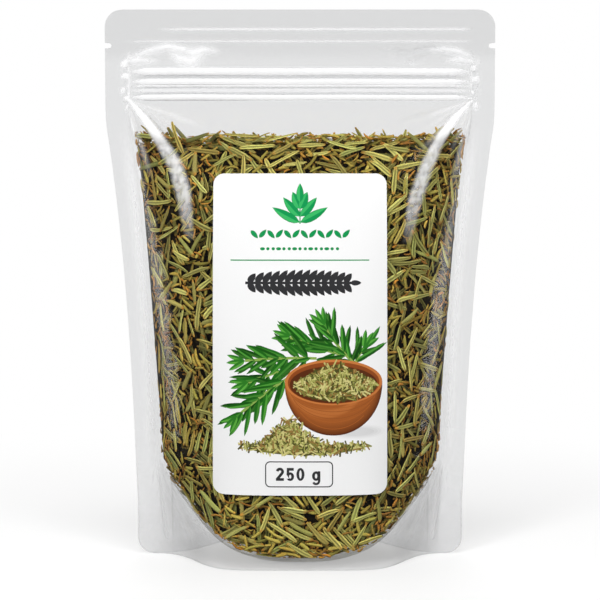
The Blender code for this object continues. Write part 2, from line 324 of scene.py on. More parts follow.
def painted_shade_core_material():
    """Crumbly near-black body deep inside the contents, painted dark as the shade among the leaves there."""
    made, add, place = new_material("leaf_core_painted_shade")
    crumb = add("TexVoronoi", {"Vector": place, "Scale": 520.0}).outputs["Distance"]
    # Painted shade: near-black browns for the shadowed depth of the contents
    color = blend(add, crumb, (0.030, 0.022, 0.008), (0.006, 0.004, 0.002))
    dust = principled(add, color, 0.95, bumped(add, crumb, 0.8, 0.001))
    add("OutputMaterial", {"Surface": dust.outputs[0]})
    return made


def paper_material():
    """Satin label paper: printed colours, fine fibres and a slight unevenness."""
    made, add, place = new_material("label_paper")
    fibres = noise(add, place, 2600.0, 3.0)
    color = scaled(add, attribute(add, "tint", "Color"), ranged(add, fibres, 0.3, 0.7, 0.985, 1.01))
    rough = ranged(add, noise(add, place, 60.0), 0.3, 0.7, 0.38, 0.5)
    paper = principled(add, color, rough, bumped(add, fibres, 0.08, 0.00005), 0.4)
    add("OutputMaterial", {"Surface": paper.outputs[0]})
    return made


# ---------------------------------------------------------------- mesh helpers
def mesh_piece(name, points, loops, sizes, look):
    """Object from flat arrays: points, face corners one after another, and corners per face."""
    mesh = bpy.data.meshes.new(name)
    mesh.vertices.add(len(points))
    mesh.vertices.foreach_set("co", np.asarray(points, dtype=np.float32).ravel())
    mesh.loops.add(len(loops))
    mesh.loops.foreach_set("vertex_index", np.asarray(loops, dtype=np.int32))
    mesh.polygons.add(len(sizes))
    starts = np.concatenate(([0], np.cumsum(sizes)[:-1]))
    mesh.polygons.foreach_set("loop_start", starts.astype(np.int32))
    mesh.polygons.foreach_set("use_smooth", np.ones(len(sizes), dtype=bool))
    mesh.materials.append(look)
    mesh.update(calc_edges=True)
    mesh.validate()
    made = bpy.data.objects.new(name, mesh)
    bpy.context.scene.collection.objects.link(made)
    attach(made, "root")
    return made


def vertex_values(made, name, values):
    """Number at each vertex, for the material to read."""
    layer = made.data.attributes.new(name, "FLOAT", "POINT")
    layer.data.foreach_set("value", np.asarray(values, dtype=np.float32).ravel())


def vertex_colors(made, colors, domain):
    """Linear colour at each vertex or face corner."""
    layer = made.data.attributes.new("tint", "FLOAT_COLOR", domain)
    rgba = np.ones((len(colors), 4), dtype=np.float32)
    rgba[:, :3] = colors
    layer.data.foreach_set("color", rgba.ravel())


def tube_quads(index):
    """Quads between the rings of a tube, from a grid of vertex numbers with one ring in each row."""
    after = np.roll(index, -1, axis=1)
    return np.stack((index[:-1], index[1:], after[1:], after[:-1]), axis=-1).reshape(-1, 4)


def sheet_faces(rows, columns):
    """Corners of a closed thin sheet: two skins with the same diagonal, and the rim between them."""
    index = np.arange(rows * columns).reshape(rows, columns)
    a, b, c, d = index[:-1, :-1], index[:-1, 1:], index[1:, 1:], index[1:, :-1]
    one = np.stack((a, b, c), axis=-1).reshape(-1, 3)
    two = np.stack((a, c, d), axis=-1).reshape(-1, 3)
    skin = np.concatenate((one, two))
    rim = np.concatenate((index[0, :-1], index[:-1, -1], index[-1, :0:-1], index[:0:-1, 0]))
    after = np.roll(rim, -1)
    offset = rows * columns
    rim_one = np.stack((rim, rim + offset, after + offset), axis=-1)
    rim_two = np.stack((rim, after + offset, after), axis=-1)
    return np.concatenate((skin[:, ::-1], skin + offset, rim_one[:, ::-1], rim_two[:, ::-1]))


def thin_sheet(name, inner, outer, look, outward, milk_and_highlight, dense_and_shade):
    """Closed sheet of film between two grids of points; outward is the rough way that outer faces."""
    rows, columns = inner.shape[:2]
    points = np.concatenate((inner.reshape(-1, 3), outer.reshape(-1, 3)))
    faces = sheet_faces(rows, columns)
    skin = (rows - 1) * (columns - 1) * 2
    a, b, c = points[faces[skin + skin // 4]]
    if np.dot(np.cross(b - a, c - a), outward) < 0:
        faces = faces[:, ::-1]
    made = mesh_piece(name, points, faces.ravel(), np.full(len(faces), 3), look)
    for layer, values in (("milk_and_highlight", milk_and_highlight), ("dense_and_shade", dense_and_shade)):
        vertex_values(made, layer, np.concatenate((values.ravel(), values.ravel())))
    return made


# ---------------------------------------------------------------- creases of the film and their painted highlights, in mm
CREASE_SEEDS = {FRONT: 11, BACK: 47}
# Where the closure ends at the side seals
CLOSURE_END = 79.3
# Ridge that runs down from each lower corner of the closure, on the left (-1) and the right side of
# the front, as points of (distance from the middle, height, ridge height, reach)
CORNER_RIDGES = {
    -1: (
        (79.3, 212.3, 0.3, 0.9), (71.6, 203.4, 0.8, 2.0), (64.2, 193.9, 1.2, 3.0),
        (56.6, 181.9, 1.2, 3.6), (52.9, 169.9, 1.1, 3.8), (50.0, 150.0, 0.1, 2.4),
    ),
    1: (
        (79.3, 211.7, 0.3, 0.8), (71.4, 203.4, 0.8, 2.1), (64.2, 194.6, 1.1, 2.9),
        (57.0, 180.0, 1.1, 3.3), (51.8, 165.0, 1.0, 3.5), (48.5, 148.0, 0.1, 2.2),
    ),
}
# Puckers between the top seal and the closure, in the same way
PUCKERS = {
    -1: (
        ((80.1, 230.8, 0.1, 0.5), (69.6, 234.4, 0.3, 0.9), (61.0, 236.4, 0.35, 1), (53.5, 235.0, 0.35, 0.9)),
        ((54.5, 235.2, 0.2, 0.9), (49.7, 233.4, 0.3, 1.4), (44.0, 235.1, 0.3, 0.9), (35.5, 233.8, 0, 0.6)),
        ((60.0, 233.6, 0.1, 0.8), (55.0, 230.6, 0.3, 1.3), (50.5, 229.4, 0.35, 1.5), (45.5, 233.0, 0.2, 1.1)),
        ((79.3, 229.4, 0.25, 0.9), (74.6, 230.2, 0.3, 1.2), (69.6, 229.6, 0.2, 0.7), (64.0, 230.2, 0, 0.5)),
    ),
    1: (
        ((79.6, 231.5, 0.1, 0.5), (73.0, 234.2, 0.3, 0.9), (65.5, 235.4, 0.25, 0.8), (58.0, 234.4, 0, 0.5)),
        ((79.3, 229.2, 0.25, 0.9), (73.5, 230.4, 0.3, 1.1), (66.5, 229.8, 0, 0.6)),
    ),
}
# Bright bands of the closure, partly its whitish plastic and partly painted highlights, as (height, half
# width, whiteness, roll height)
ZIP_BANDS = (
    (224.95, 1.55, 0.84, 0.45),
    (220.30, 1.25, 0.84, 0.30),
    (218.40, 0.40, 0.74, 0.20),
    (216.30, 0.90, 0.38, 0.04),
    (213.15, 1.20, 0.84, 0.40),
)
# Grey lines of painted shade between the bands, as (height, half width)
ZIP_LINES = ((222.75, 0.75), (217.55, 0.55), (214.75, 0.50))
# Embossed lines of the top seal, as (height, how far left of the middle they start)
SEAL_LINES = ((244.4, 64.0), (239.1, 79.0))
# Fine creases that fan out from the closure's lower corner, in degrees below the level
UPPER_FAN = (18, 33, 44, 70, 79, 86)
# Folds that fan out from the end of the bottom seal, as (degrees below the level, height, whiteness of their
# painted highlight)
LOWER_FAN = ((52, 0.30, 0.16), (66, 0.45, 0.26), (82, 0.55, 0.40), (97, 0.35, 0.24))


def along_path(x, z, path):
    """Distance to a path of (x, z, height, reach) points, with the height and reach there."""
    nearest = np.full(x.shape, 1e9)
    height, reach = np.zeros(x.shape), np.ones(x.shape)
    for (x0, z0, h0, r0), (x1, z1, h1, r1) in zip(path, path[1:]):
        dx, dz = x1 - x0, z1 - z0
        t = np.clip(((x - x0) * dx + (z - z0) * dz) / (dx * dx + dz * dz), 0.0, 1.0)
        away = np.hypot(x - x0 - t * dx, z - z0 - t * dz)
        closer = away < nearest
        nearest = np.where(closer, away, nearest)
        height = np.where(closer, h0 + t * (h1 - h0), height)
        reach = np.where(closer, r0 + t * (r1 - r0), reach)
    return nearest, height, reach


def below(x, z, corner_x, corner_z):
    """Angle below the level and distance of each place, seen from a corner towards the middle."""
    across, down = corner_x - x, corner_z - z
    return np.arctan2(down, across), np.hypot(down, across)


class Creases:
    """Creases of one panel of film: how far it is pushed out, how grey it is, and how white it is painted,
    mostly as painted highlights.
    """

    def __init__(self, side, x, z):
        self.side, self.x, self.z = side, x, z
        self.xm, self.zm = x / MM, z / MM
        self.ax = np.abs(self.xm)
        self.chord = half_chord(z) / MM
        self.seed = CREASE_SEEDS[side]
        self.push = np.zeros(x.shape)
        self.milk_and_highlight = np.zeros(x.shape)
        self.dense_and_shade = np.maximum(0.5 * ramp(228.0, 236.0, self.zm), 1 - ramp(0.2, 0.9, self.zm))
        self.closure()
        self.seal_lines()
        for sign in (-1, 1):
            self.corner_ridge(sign)
            self.upper_fan(sign)
        for sign in (-1, 1):
            self.puckers(sign)
        self.crushed_ends()
        self.slack()
        self.lower_fan()
        self.painted_sheen()
        if side == FRONT:
            self.push = self.push * (1 - self.behind_label())
        thinnest = wall_depth(side, x, z) - 0.00006
        self.push = np.maximum(self.push * MM, -np.minimum(thinnest, 0.0005))
        self.milk_and_highlight *= 0.9 if side == FRONT else 0.45

    def noise(self, scale, seed, stretch_x=1.0, stretch_z=1.0):
        """Smooth random field over the panel."""
        return field(self.xm * stretch_x, self.zm * stretch_z, scale, self.seed + seed)

    def mark(self, shape, push, milk_and_highlight):
        """Add a shape from 0 to 1 as a ridge and as whiteness."""
        self.push += push * shape
        self.whiten(milk_and_highlight * shape)

    def whiten(self, milk_and_highlight):
        """Make the film at least so white; this whiteness is mostly painted highlight."""
        self.milk_and_highlight = np.maximum(self.milk_and_highlight, milk_and_highlight)

    def closure(self):
        """Rolls pressed by the closure, with white bands that are partly the closure's whitish plastic and
        partly painted highlights, and grey lines of painted shade between them.
        """
        ends = 1 - ramp(70.0, 79.0, self.ax)
        sway = 0.12 * self.noise(60.0, 1, stretch_z=0.0)
        for height, half, white, roll in ZIP_BANDS:
            away = self.zm - (height + sway)
            slim = half * (0.35 + 0.65 * ends)
            band = 1 - ramp(slim * 0.75, slim * 1.15, np.abs(away))
            self.push += roll * bell(away, half * 1.1) * ends
            self.whiten(white * band * (0.25 + 0.75 * ends) * (self.ax < CLOSURE_END))
        for height, half in ZIP_LINES:
            line = 1 - ramp(half * 0.5, half * 1.2, np.abs(self.zm - height - sway))
            self.dense_and_shade = np.maximum(self.dense_and_shade, line * ends)

    def seal_lines(self):
        """Embossed lines of the top seal, with painted highlights along them."""
        for height, start in SEAL_LINES:
            reach = window(self.xm, -start - 3.0, -start + 12.0, 72.0, 80.0)
            self.mark(bell(self.zm - height, 0.27) * reach, 0.06, 0.55)

    def corner_ridge(self, sign):
        """Ridge down from the closure's lower corner with a painted white highlight along it, broken up where
        leaves lie behind it.
        """
        path = CORNER_RIDGES[sign if self.side == FRONT else -sign]
        away, high, reach = along_path(sign * self.xm, self.zm, path)
        self.push += 0.7 * high * bell(away, reach)
        whole = 0.62 + 0.30 * self.noise(3.4, 3) + 0.22 * self.noise(1.5, 4)
        above = ramp(186.0, 198.0, self.zm)
        fade = ramp(142.0, 175.0, self.zm) * (0.62 + 0.38 * above)
        core = 1 - ramp(0.35, 0.95 + 0.25 * (1 - above), away / reach)
        over_leaves = 1 - ramp(188.0, 196.0, self.zm)
        self.whiten(0.95 * fade * core * (1 - over_leaves * np.clip(1 - whole, 0, 1) * 0.6))

    def upper_fan(self, sign):
        """Fine creases that spread from the closure's lower corner, each with a faint painted highlight."""
        angle, radius = below(sign * self.xm, self.zm, CLOSURE_END, 211.7)
        draw = np.random.default_rng(self.seed + 5 + sign)
        for degrees in UPPER_FAN:
            gap = (angle - math.radians(degrees + draw.uniform(-3, 3))) * radius
            length = draw.uniform(22, 45)
            reach = window(radius, 1.0, 4.0, 0.5 * length, length) * ramp(-0.02, 0.05, angle)
            self.mark(bell(gap, 0.35 + 0.03 * radius) * reach, 0.22, draw.uniform(0.08, 0.30))

    def puckers(self, sign):
        """Puckers between the top seal and the closure, each with a painted highlight and a soft painted
        sheen round it.
        """
        here = sign * self.xm > 0
        for path in PUCKERS[sign if self.side == FRONT else -sign]:
            away, high, reach = along_path(sign * self.xm, self.zm, path)
            ridge = bell(away, reach) * here
            self.push += high * ridge
            self.whiten(high * (0.7 * ridge + 1.1 * bell(away, 2.2 * reach) * here))

    def crushed_ends(self):
        """Chips with painted glints, and a painted bright line, where the side seals crush the ends of the
        closure.
        """
        crush = bell(self.ax - 80.5, 1.6) * window(self.zm, 206.0, 211.0, 228.0, 233.0)
        chips = self.noise(4.2, 9)
        self.push += 0.10 * crush * np.abs(chips)
        self.whiten(0.8 * np.minimum(1.0, 1.6 * crush) * ramp(0.0, 0.9, chips))
        self.whiten(0.75 * bell(self.ax - 79.0, 0.35) * window(self.zm, 204.0, 212.0, 229.0, 236.0))

    def slack(self):
        """Soft waves: small ones over the leaves, wide ones above them and on the side seals."""
        inside = self.ax < self.chord
        full = window(self.zm, 14.0, 26.0, 180.0, 190.0) * (1 - ramp(0.86, 0.98, self.ax / self.chord))
        self.push += full * (0.07 * np.abs(self.noise(9.0, 13)) + 0.02 * self.noise(4.5, 17))
        head = window(self.zm, 190.0, 198.0, 206.0, 211.0) * inside
        self.push += 0.22 * head * self.noise(26.0, 19, stretch_z=0.6)
        self.push += 0.05 * ~inside * (1 + self.noise(24.0, 23, 1.6, 0.5))

    def lower_fan(self):
        """Folds that spread over the lower corners from the ends of the bottom seal, with painted highlights
        along them.
        """
        angle, radius = below(self.ax, self.zm, 67.5, 47.0)
        reach = ramp(2.0, 8.0, self.zm) * window(radius, 3.0, 9.0, 38.0, 46.0)
        for degrees, tall, white in LOWER_FAN:
            gap = (angle - math.radians(degrees)) * radius
            self.mark(bell(gap, 0.45 + 0.026 * radius) * reach, tall, white)

    def painted_sheen(self):
        """Faint painted sheen beside the contents, and painted whiteness that lightens the lower corners."""
        beside = bell(self.ax - self.chord - 2.4, 2.4) * window(self.zm, 30.0, 60.0, 170.0, 205.0)
        self.whiten(0.30 * beside)
        skirt = (1 - ramp(-1.5, 0.5, self.zm - seal_height(self.x) / MM)) * ramp(44.0, 62.0, self.ax)
        self.whiten(0.26 * skirt * (1 - ramp(20.0, 55.0, self.zm)))

    def behind_label(self):
        """1 behind the label, which keeps the film smooth, easing to 0 round it."""
        near, far = 0.5 * MM, 4 * MM
        across = 1 - ramp(LABEL_HALF_WIDTH + near, LABEL_HALF_WIDTH + far, np.abs(self.x))
        return across * window(self.z, LABEL_LOW - far, LABEL_LOW - near, LABEL_HIGH + near, LABEL_HIGH + far)


# ---------------------------------------------------------------- panels and bottom film
def stepped(stops):
    """Positions from 0 through (end, step) pairs."""
    places = [0.0]
    for end, step in stops:
        count = max(1, round((end - places[-1]) / step))
        places += list(np.linspace(places[-1], end, count + 1)[1:])
    return np.array(places)


# Heights of the rows of film, closest at the closure, the notches and the seal lines
FILM_ROWS = stepped(
    (
        (0.0012, 0.0004), (0.0080, 0.0009), (0.0500, 0.0013), (0.1400, 0.0024), (0.2050, 0.0011),
        (0.2090, 0.0007), (0.2300, 0.00042), (0.2357, 0.0007), (0.2383, 0.00026), (0.2402, 0.0006),
        (0.2420, 0.0003), (0.2469, 0.0008), (0.2487, 0.0003), (0.2523, 0.0008), (HEIGHT, 0.0004),
    )
)
# Places from the middle to the side seal, and across that seal, as shares of each
CHORD_STEPS = stepped(((0.49, 0.035), (1.0, 0.0073)))
SEAL_STEPS = np.linspace(0.0, 1.0, 12)[1:] ** 1.25


def film_columns(z):
    """Places across a panel at each height: dense near the sides, with the notches cut in."""
    chord = half_chord(z)[:, None]
    rise = np.abs(z - NOTCH_HEIGHT)
    cut = NOTCH_DEPTH - NOTCH_RADIUS + np.sqrt(np.maximum(0.0, NOTCH_RADIUS**2 - rise**2))
    edge = half_width(z) - np.where(rise < NOTCH_RADIUS, cut, 0.0)
    rim = chord + SEAL_STEPS[None, :] * (edge[:, None] - chord)
    right = np.concatenate((CHORD_STEPS[None, 1:] * chord, rim), axis=1)
    return np.concatenate((-right[:, ::-1], np.zeros((len(z), 1)), right), axis=1)


def film_panel(name, side, look, node):
    """Front or back film with its creases, rolls, seal lines and tear notches."""
    x = film_columns(FILM_ROWS)
    z = np.repeat(FILM_ROWS[:, None], x.shape[1], axis=1)
    creases = Creases(side, x, z)
    point, normal = wall(side, x, z)
    inner = point + normal * creases.push[..., None]
    outer = inner + normal * FILM
    made = thin_sheet(name, inner, outer, look, (0, side, 0), creases.milk_and_highlight, creases.dense_and_shade)
    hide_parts(node)


def bottom_film(look):
    """Folded bottom film: skirts sealed to the panels, and the floor between them with soft folds."""
    skirt_rows, floor_rows, columns = 28, 44, 130
    fold_height, fold_width = 0.35 * MM, 0.016
    x = np.linspace(-1, 1, columns) * 11 / 12 * float(half_chord(U_MIDDLE))
    top = seal_height(x)
    slope = (seal_height(x + 1e-4) - seal_height(x - 1e-4)) / 2e-4
    climb = np.linspace(0, 1, skirt_rows)[:, None] * top[None, :]
    across = np.repeat(x[None, :], skirt_rows, axis=0)
    t = (np.arange(1, floor_rows) / floor_rows)[:, None]
    layers = []
    for layer in (-GAP - FILM, -GAP):
        skirts = []
        for side in (FRONT, BACK):
            point, normal = wall(side, across, climb)
            skirts.append(point + normal * layer)
        front, back = skirts[0], skirts[1][::-1]
        drop = (layer + GAP) * np.hypot(1, slope)
        front[-1, :, 2] = back[0, :, 2] = top + drop
        floor = front[-1][None] * (1 - t[..., None]) + back[0][None] * t[..., None]
        folds = fold_height * field(floor[..., 0], floor[..., 1], fold_width, 91) * np.sin(math.pi * t)
        floor[..., 2] = floor_height(x[None, :], t) + drop + folds
        layers.append(np.concatenate((front, floor, back)))
    clear = np.zeros(layers[0].shape[:2])
    made = thin_sheet("bottom_film", layers[0], layers[1], look, (0, FRONT, 0), clear, clear)
    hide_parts("bottom_gusset")


# ---------------------------------------------------------------- dried leaves
# Kinds of leaf: section as (across, out, tone) points, number of stations along it, length and width
# in mm, bend as a share of length, and colour factor. A long leaf has rolled rims round a groove. The tone
# darkens the groove and the underside and lightens the rims: partly the leaf's own colours, partly painted
# shade and painted highlight.
KINDS = {
    "long": dict(
        section=(
            (-1.0, 0.0, 1.10), (-0.66, 0.62, 1.42), (-0.12, 0.26, 0.45), (0.12, 0.26, 0.45),
            (0.66, 0.62, 1.42), (1.0, 0.0, 1.10), (0.5, -0.6, 0.85), (-0.5, -0.6, 0.85),
        ),
        stations=9, length=(10.5, 16.5), width=(1.75, 2.35), bend=0.05, shade=(1.04, 1.05, 1.36),
    ),
    "short": dict(
        section=((-1.0, 0.0, 1.1), (-0.35, 0.7, 1.0), (0.35, 0.7, 0.85), (1.0, 0.0, 1.05), (0.0, -0.8, 0.8)),
        stations=7, length=(5.0, 10.0), width=(1.2, 1.8), bend=0.10, shade=(1.05, 0.92, 0.85),
    ),
    "bit": dict(
        section=((-1.0, 0.0, 0.9), (0.0, 0.9, 1.1), (1.0, 0.0, 0.95), (0.0, -0.9, 0.8)),
        stations=5, length=(2.4, 6.5), width=(0.75, 1.35), bend=0.20, shade=(1.05, 0.92, 0.85),
    ),
}
THICKNESS_SHARE = 0.50
MOST_TRIANGLES = 190_000

OLIVES = np.array(((0.62, 0.56, 0.125), (0.32, 0.36, 0.075), (0.48, 0.31, 0.050)))
OLIVE_SHARES = (2.2, 1.8, 0.9)
TIP_ORANGE = np.array((0.62, 0.29, 0.045))
STALK_BROWN = np.array((0.33, 0.16, 0.040))


def leaf_template(kind):
    """Vertices (along, across, out), faces, tones and UVs of one leaf of unit size."""
    section_across, section_out, light = np.array(kind["section"]).T
    stations, around = kind["stations"], len(light)
    t = np.sin(np.linspace(-1, 1, stations) * math.pi / 2 * 0.94)
    swell = np.maximum((1 - np.abs(t) ** 5.0) ** 0.5 * (1 - 0.16 * t), 0.42)

    def with_ends(values, *ends):
        return np.concatenate((values.ravel(), ends))

    index = np.arange(stations * around).reshape(stations, around)
    after = np.roll(index, -1, axis=1)
    quads = tube_quads(index)
    first, last = stations * around, stations * around + 1
    caps = [(after[0, i], first, index[0, i]) for i in range(around)]
    caps += [(index[-1, i], last, after[-1, i]) for i in range(around)]
    loops = np.concatenate((quads.ravel(), np.array(caps).ravel()))
    station = with_ends(np.repeat(np.linspace(0, 1, stations), around), 0.0, 1.0)
    turn = with_ends(np.tile(np.arange(around) / around, stations), 0.5, 0.5)
    seam = np.zeros(len(loops))
    on_seam = np.tile(np.arange(around) == around - 1, stations - 1)
    seam[: 4 * len(quads)] = np.repeat(on_seam, 4) * np.tile((0, 0, 1, 1), len(quads))
    return dict(
        along=with_ends(np.repeat(t, around), -1.0, 1.0),
        across=with_ends(swell[:, None] * section_across[None], 0.0, 0.0),
        out=with_ends(swell[:, None] ** 0.5 * section_out[None], 0.0, 0.0),
        tone=with_ends(np.tile(light, stations), 1.0, 1.0),
        tip=with_ends(np.repeat(np.abs(t), around), 1.0, 1.0),
        loops=loops,
        sizes=np.concatenate((np.full(len(quads), 4), np.full(len(caps), 3))),
        u=station[loops],
        v=turn[loops] + seam,
        triangles=2 * len(quads) + len(caps),
    )


def leaf_colors(draw, deep, kind_name, template):
    """Colour of every vertex of every leaf: olive shades and orange tips, a dark groove and pale rims that
    are partly painted shade and highlight, and painted shade on leaves lying deeper.
    """
    count = len(deep)
    base = draw.dirichlet(OLIVE_SHARES, count) @ OLIVES
    if kind_name == "bit":
        brown = draw.random(count)[:, None] < 0.72
        share = np.where(brown, draw.uniform(0.6, 1.0, (count, 1)), draw.uniform(0.0, 0.4, (count, 1)))
        warm = TIP_ORANGE + draw.random((count, 1)) * (STALK_BROWN - TIP_ORANGE)
        base = base * (1 - share) + warm * share
    # Painted shade: leaves lying deeper in the heap are darker, those at its face lighter
    shadow = 1.14 - 0.66 * ramp(0.0, 0.0050, deep)
    base = base * draw.uniform(0.58, 1.16, (count, 1)) * shadow[:, None]
    base = base * np.array(KINDS[kind_name]["shade"])
    tip_share = np.clip((template["tip"][None] - draw.uniform(0.74, 0.92, (count, 1))) / 0.10, 0, 1)
    tip_share = tip_share * draw.uniform(0.5, 1.0, (count, 1))
    tip_color = TIP_ORANGE * draw.uniform(0.6, 1.25, (count, 1))
    # Painted shade and highlight on top of the leaf's own colours: darker groove and underside, paler rims
    tone = 1 + (template["tone"][None] - 1) * draw.uniform(0.6, 1.2, (count, 1))
    color = base[:, None] * tone[..., None]
    color = color * (1 - tip_share[..., None]) + tip_color[:, None] * tip_share[..., None]
    return np.clip(color, 0.004, 0.9).reshape(-1, 3)


def leaf_maps(piece, template, count):
    """Two UV maps: fibres along each leaf, and one that gives each leaf a cell of its own."""
    cells = math.ceil(math.sqrt(count))
    number = np.arange(count)
    corner = np.stack((number % cells, number // cells), axis=-1)
    shift = (number * 0.618034) % 1.0 * 50
    u, v = template["u"][None], template["v"][None]
    fibre = np.stack((u + shift[:, None], np.repeat(v, count, axis=0)), axis=-1)
    cell = np.stack((0.06 + 0.88 * u, 0.06 + 0.88 * v), axis=-1) + corner[:, None]
    for map_name, values in (("fibre", fibre), ("OFBake", cell / cells)):
        layer = piece.data.uv_layers.new(name=map_name, do_init=False)
        layer.uv.foreach_set("vector", values.astype(np.float32).ravel())


def leaf_points(draw, kind, template, batch):
    """Vertices of a batch of leaves, each rolled, bowed, bent and made lumpy in its own way."""
    count = len(batch)
    centre, axis, out = (np.array([leaf[key] for leaf in batch]) for key in ("centre", "axis", "out"))
    length, width, thick = (
        np.array([leaf[key] for leaf in batch])[:, None] for key in ("length", "width", "thick")
    )
    side = np.cross(out, axis)
    side /= np.linalg.norm(side, axis=1, keepdims=True)
    out = np.cross(axis, side)
    roll = draw.uniform(-0.5, 0.5, (count, 1))
    roll = roll + np.where(draw.random((count, 1)) < 0.8, 0.0, math.pi)
    side, out = side * np.cos(roll) + out * np.sin(roll), out * np.cos(roll) - side * np.sin(roll)
    t = template["along"][None]
    bow = draw.uniform(-kind["bend"], kind["bend"], (count, 1)) * (1 - t**2) * length
    lean = draw.uniform(-0.04, 0.04, (count, 1)) * t**3 * length
    hump = draw.uniform(-0.02, 0.02, (count, 1)) * (1 - t**2) * length
    lumpy = 1 + 0.10 * np.sin(t * draw.uniform(3, 7, (count, 1)) + draw.uniform(0, 6, (count, 1)))
    across = template["across"][None] * width / 2 * lumpy + bow + lean
    rise = template["out"][None] * thick / 2 * lumpy + hump
    points = centre[:, None] + axis[:, None] * (t * length / 2)[..., None]
    points = points + side[:, None] * across[..., None] + out[:, None] * rise[..., None]
    return points.reshape(-1, 3)


def leaf_pieces(name, kind_name, leaves, look, draw):
    """Objects that hold leaves of one kind, few enough in each for its mesh to stay light."""
    kind = KINDS[kind_name]
    template = leaf_template(kind)
    per_piece = MOST_TRIANGLES // template["triangles"]
    for start in range(0, len(leaves), per_piece):
        batch = leaves[start : start + per_piece]
        count = len(batch)
        points = leaf_points(draw, kind, template, batch)
        offset = np.arange(count)[:, None] * len(template["along"])
        loops = (template["loops"][None] + offset).ravel()
        sizes = np.tile(template["sizes"], count)
        number = start // per_piece + 1
        piece = mesh_piece(f"{name}_{number:02d}", points, loops, sizes, look)
        deep = np.array([leaf["deep"] for leaf in batch])
        vertex_colors(piece, leaf_colors(draw, deep, kind_name, template), "POINT")
        leaf_maps(piece, template, count)


# Leaves keep this far from the film, and lie at most this deep behind their bed's face
LEAF_CLEARANCE = 0.00075
DEEPEST = 0.0085
# Least distance from the seam plane to either panel where leaves still lie
LEAST_ROOM = 0.0009
# Nearer to the seam plane than this, a leaf may also use the room behind that plane
THIN_EDGE, THIN_EDGE_MARGIN = 0.006, 0.00115
# How far leaves lie above the flat top of the plain fill
HEAP_RISE = 0.0034
BED_STEP = 1.0 * MM
# Cells of the depth grid in each step of the bed
FINE = 2
LEAF_SEED = 20240617
# A leaf is tried at places about this many millimetres apart
TRIED_EVERY = 1.4
# Steepest slope into the bed, and how much of a leaf laid alone may lie on another
STEEPEST = 0.45
MOST_OVERLAP = 0.12
# Number of rows near the top where leaves lie rather level
LEVEL_ROWS = 9


def resting_line(s, need):
    """Straight line behind all the needed depths, touching the foremost place of each half."""
    half = len(s) // 2
    left, right = need[: half + 1].argmax(), half + need[half:].argmax()
    slope = (need[right] - need[left]) / max(s[right] - s[left], (s[-1] - s[0]) / 4)
    line = float(np.clip(slope, -STEEPEST, STEEPEST)) * s
    return line + max(0.0, (need - line).max())


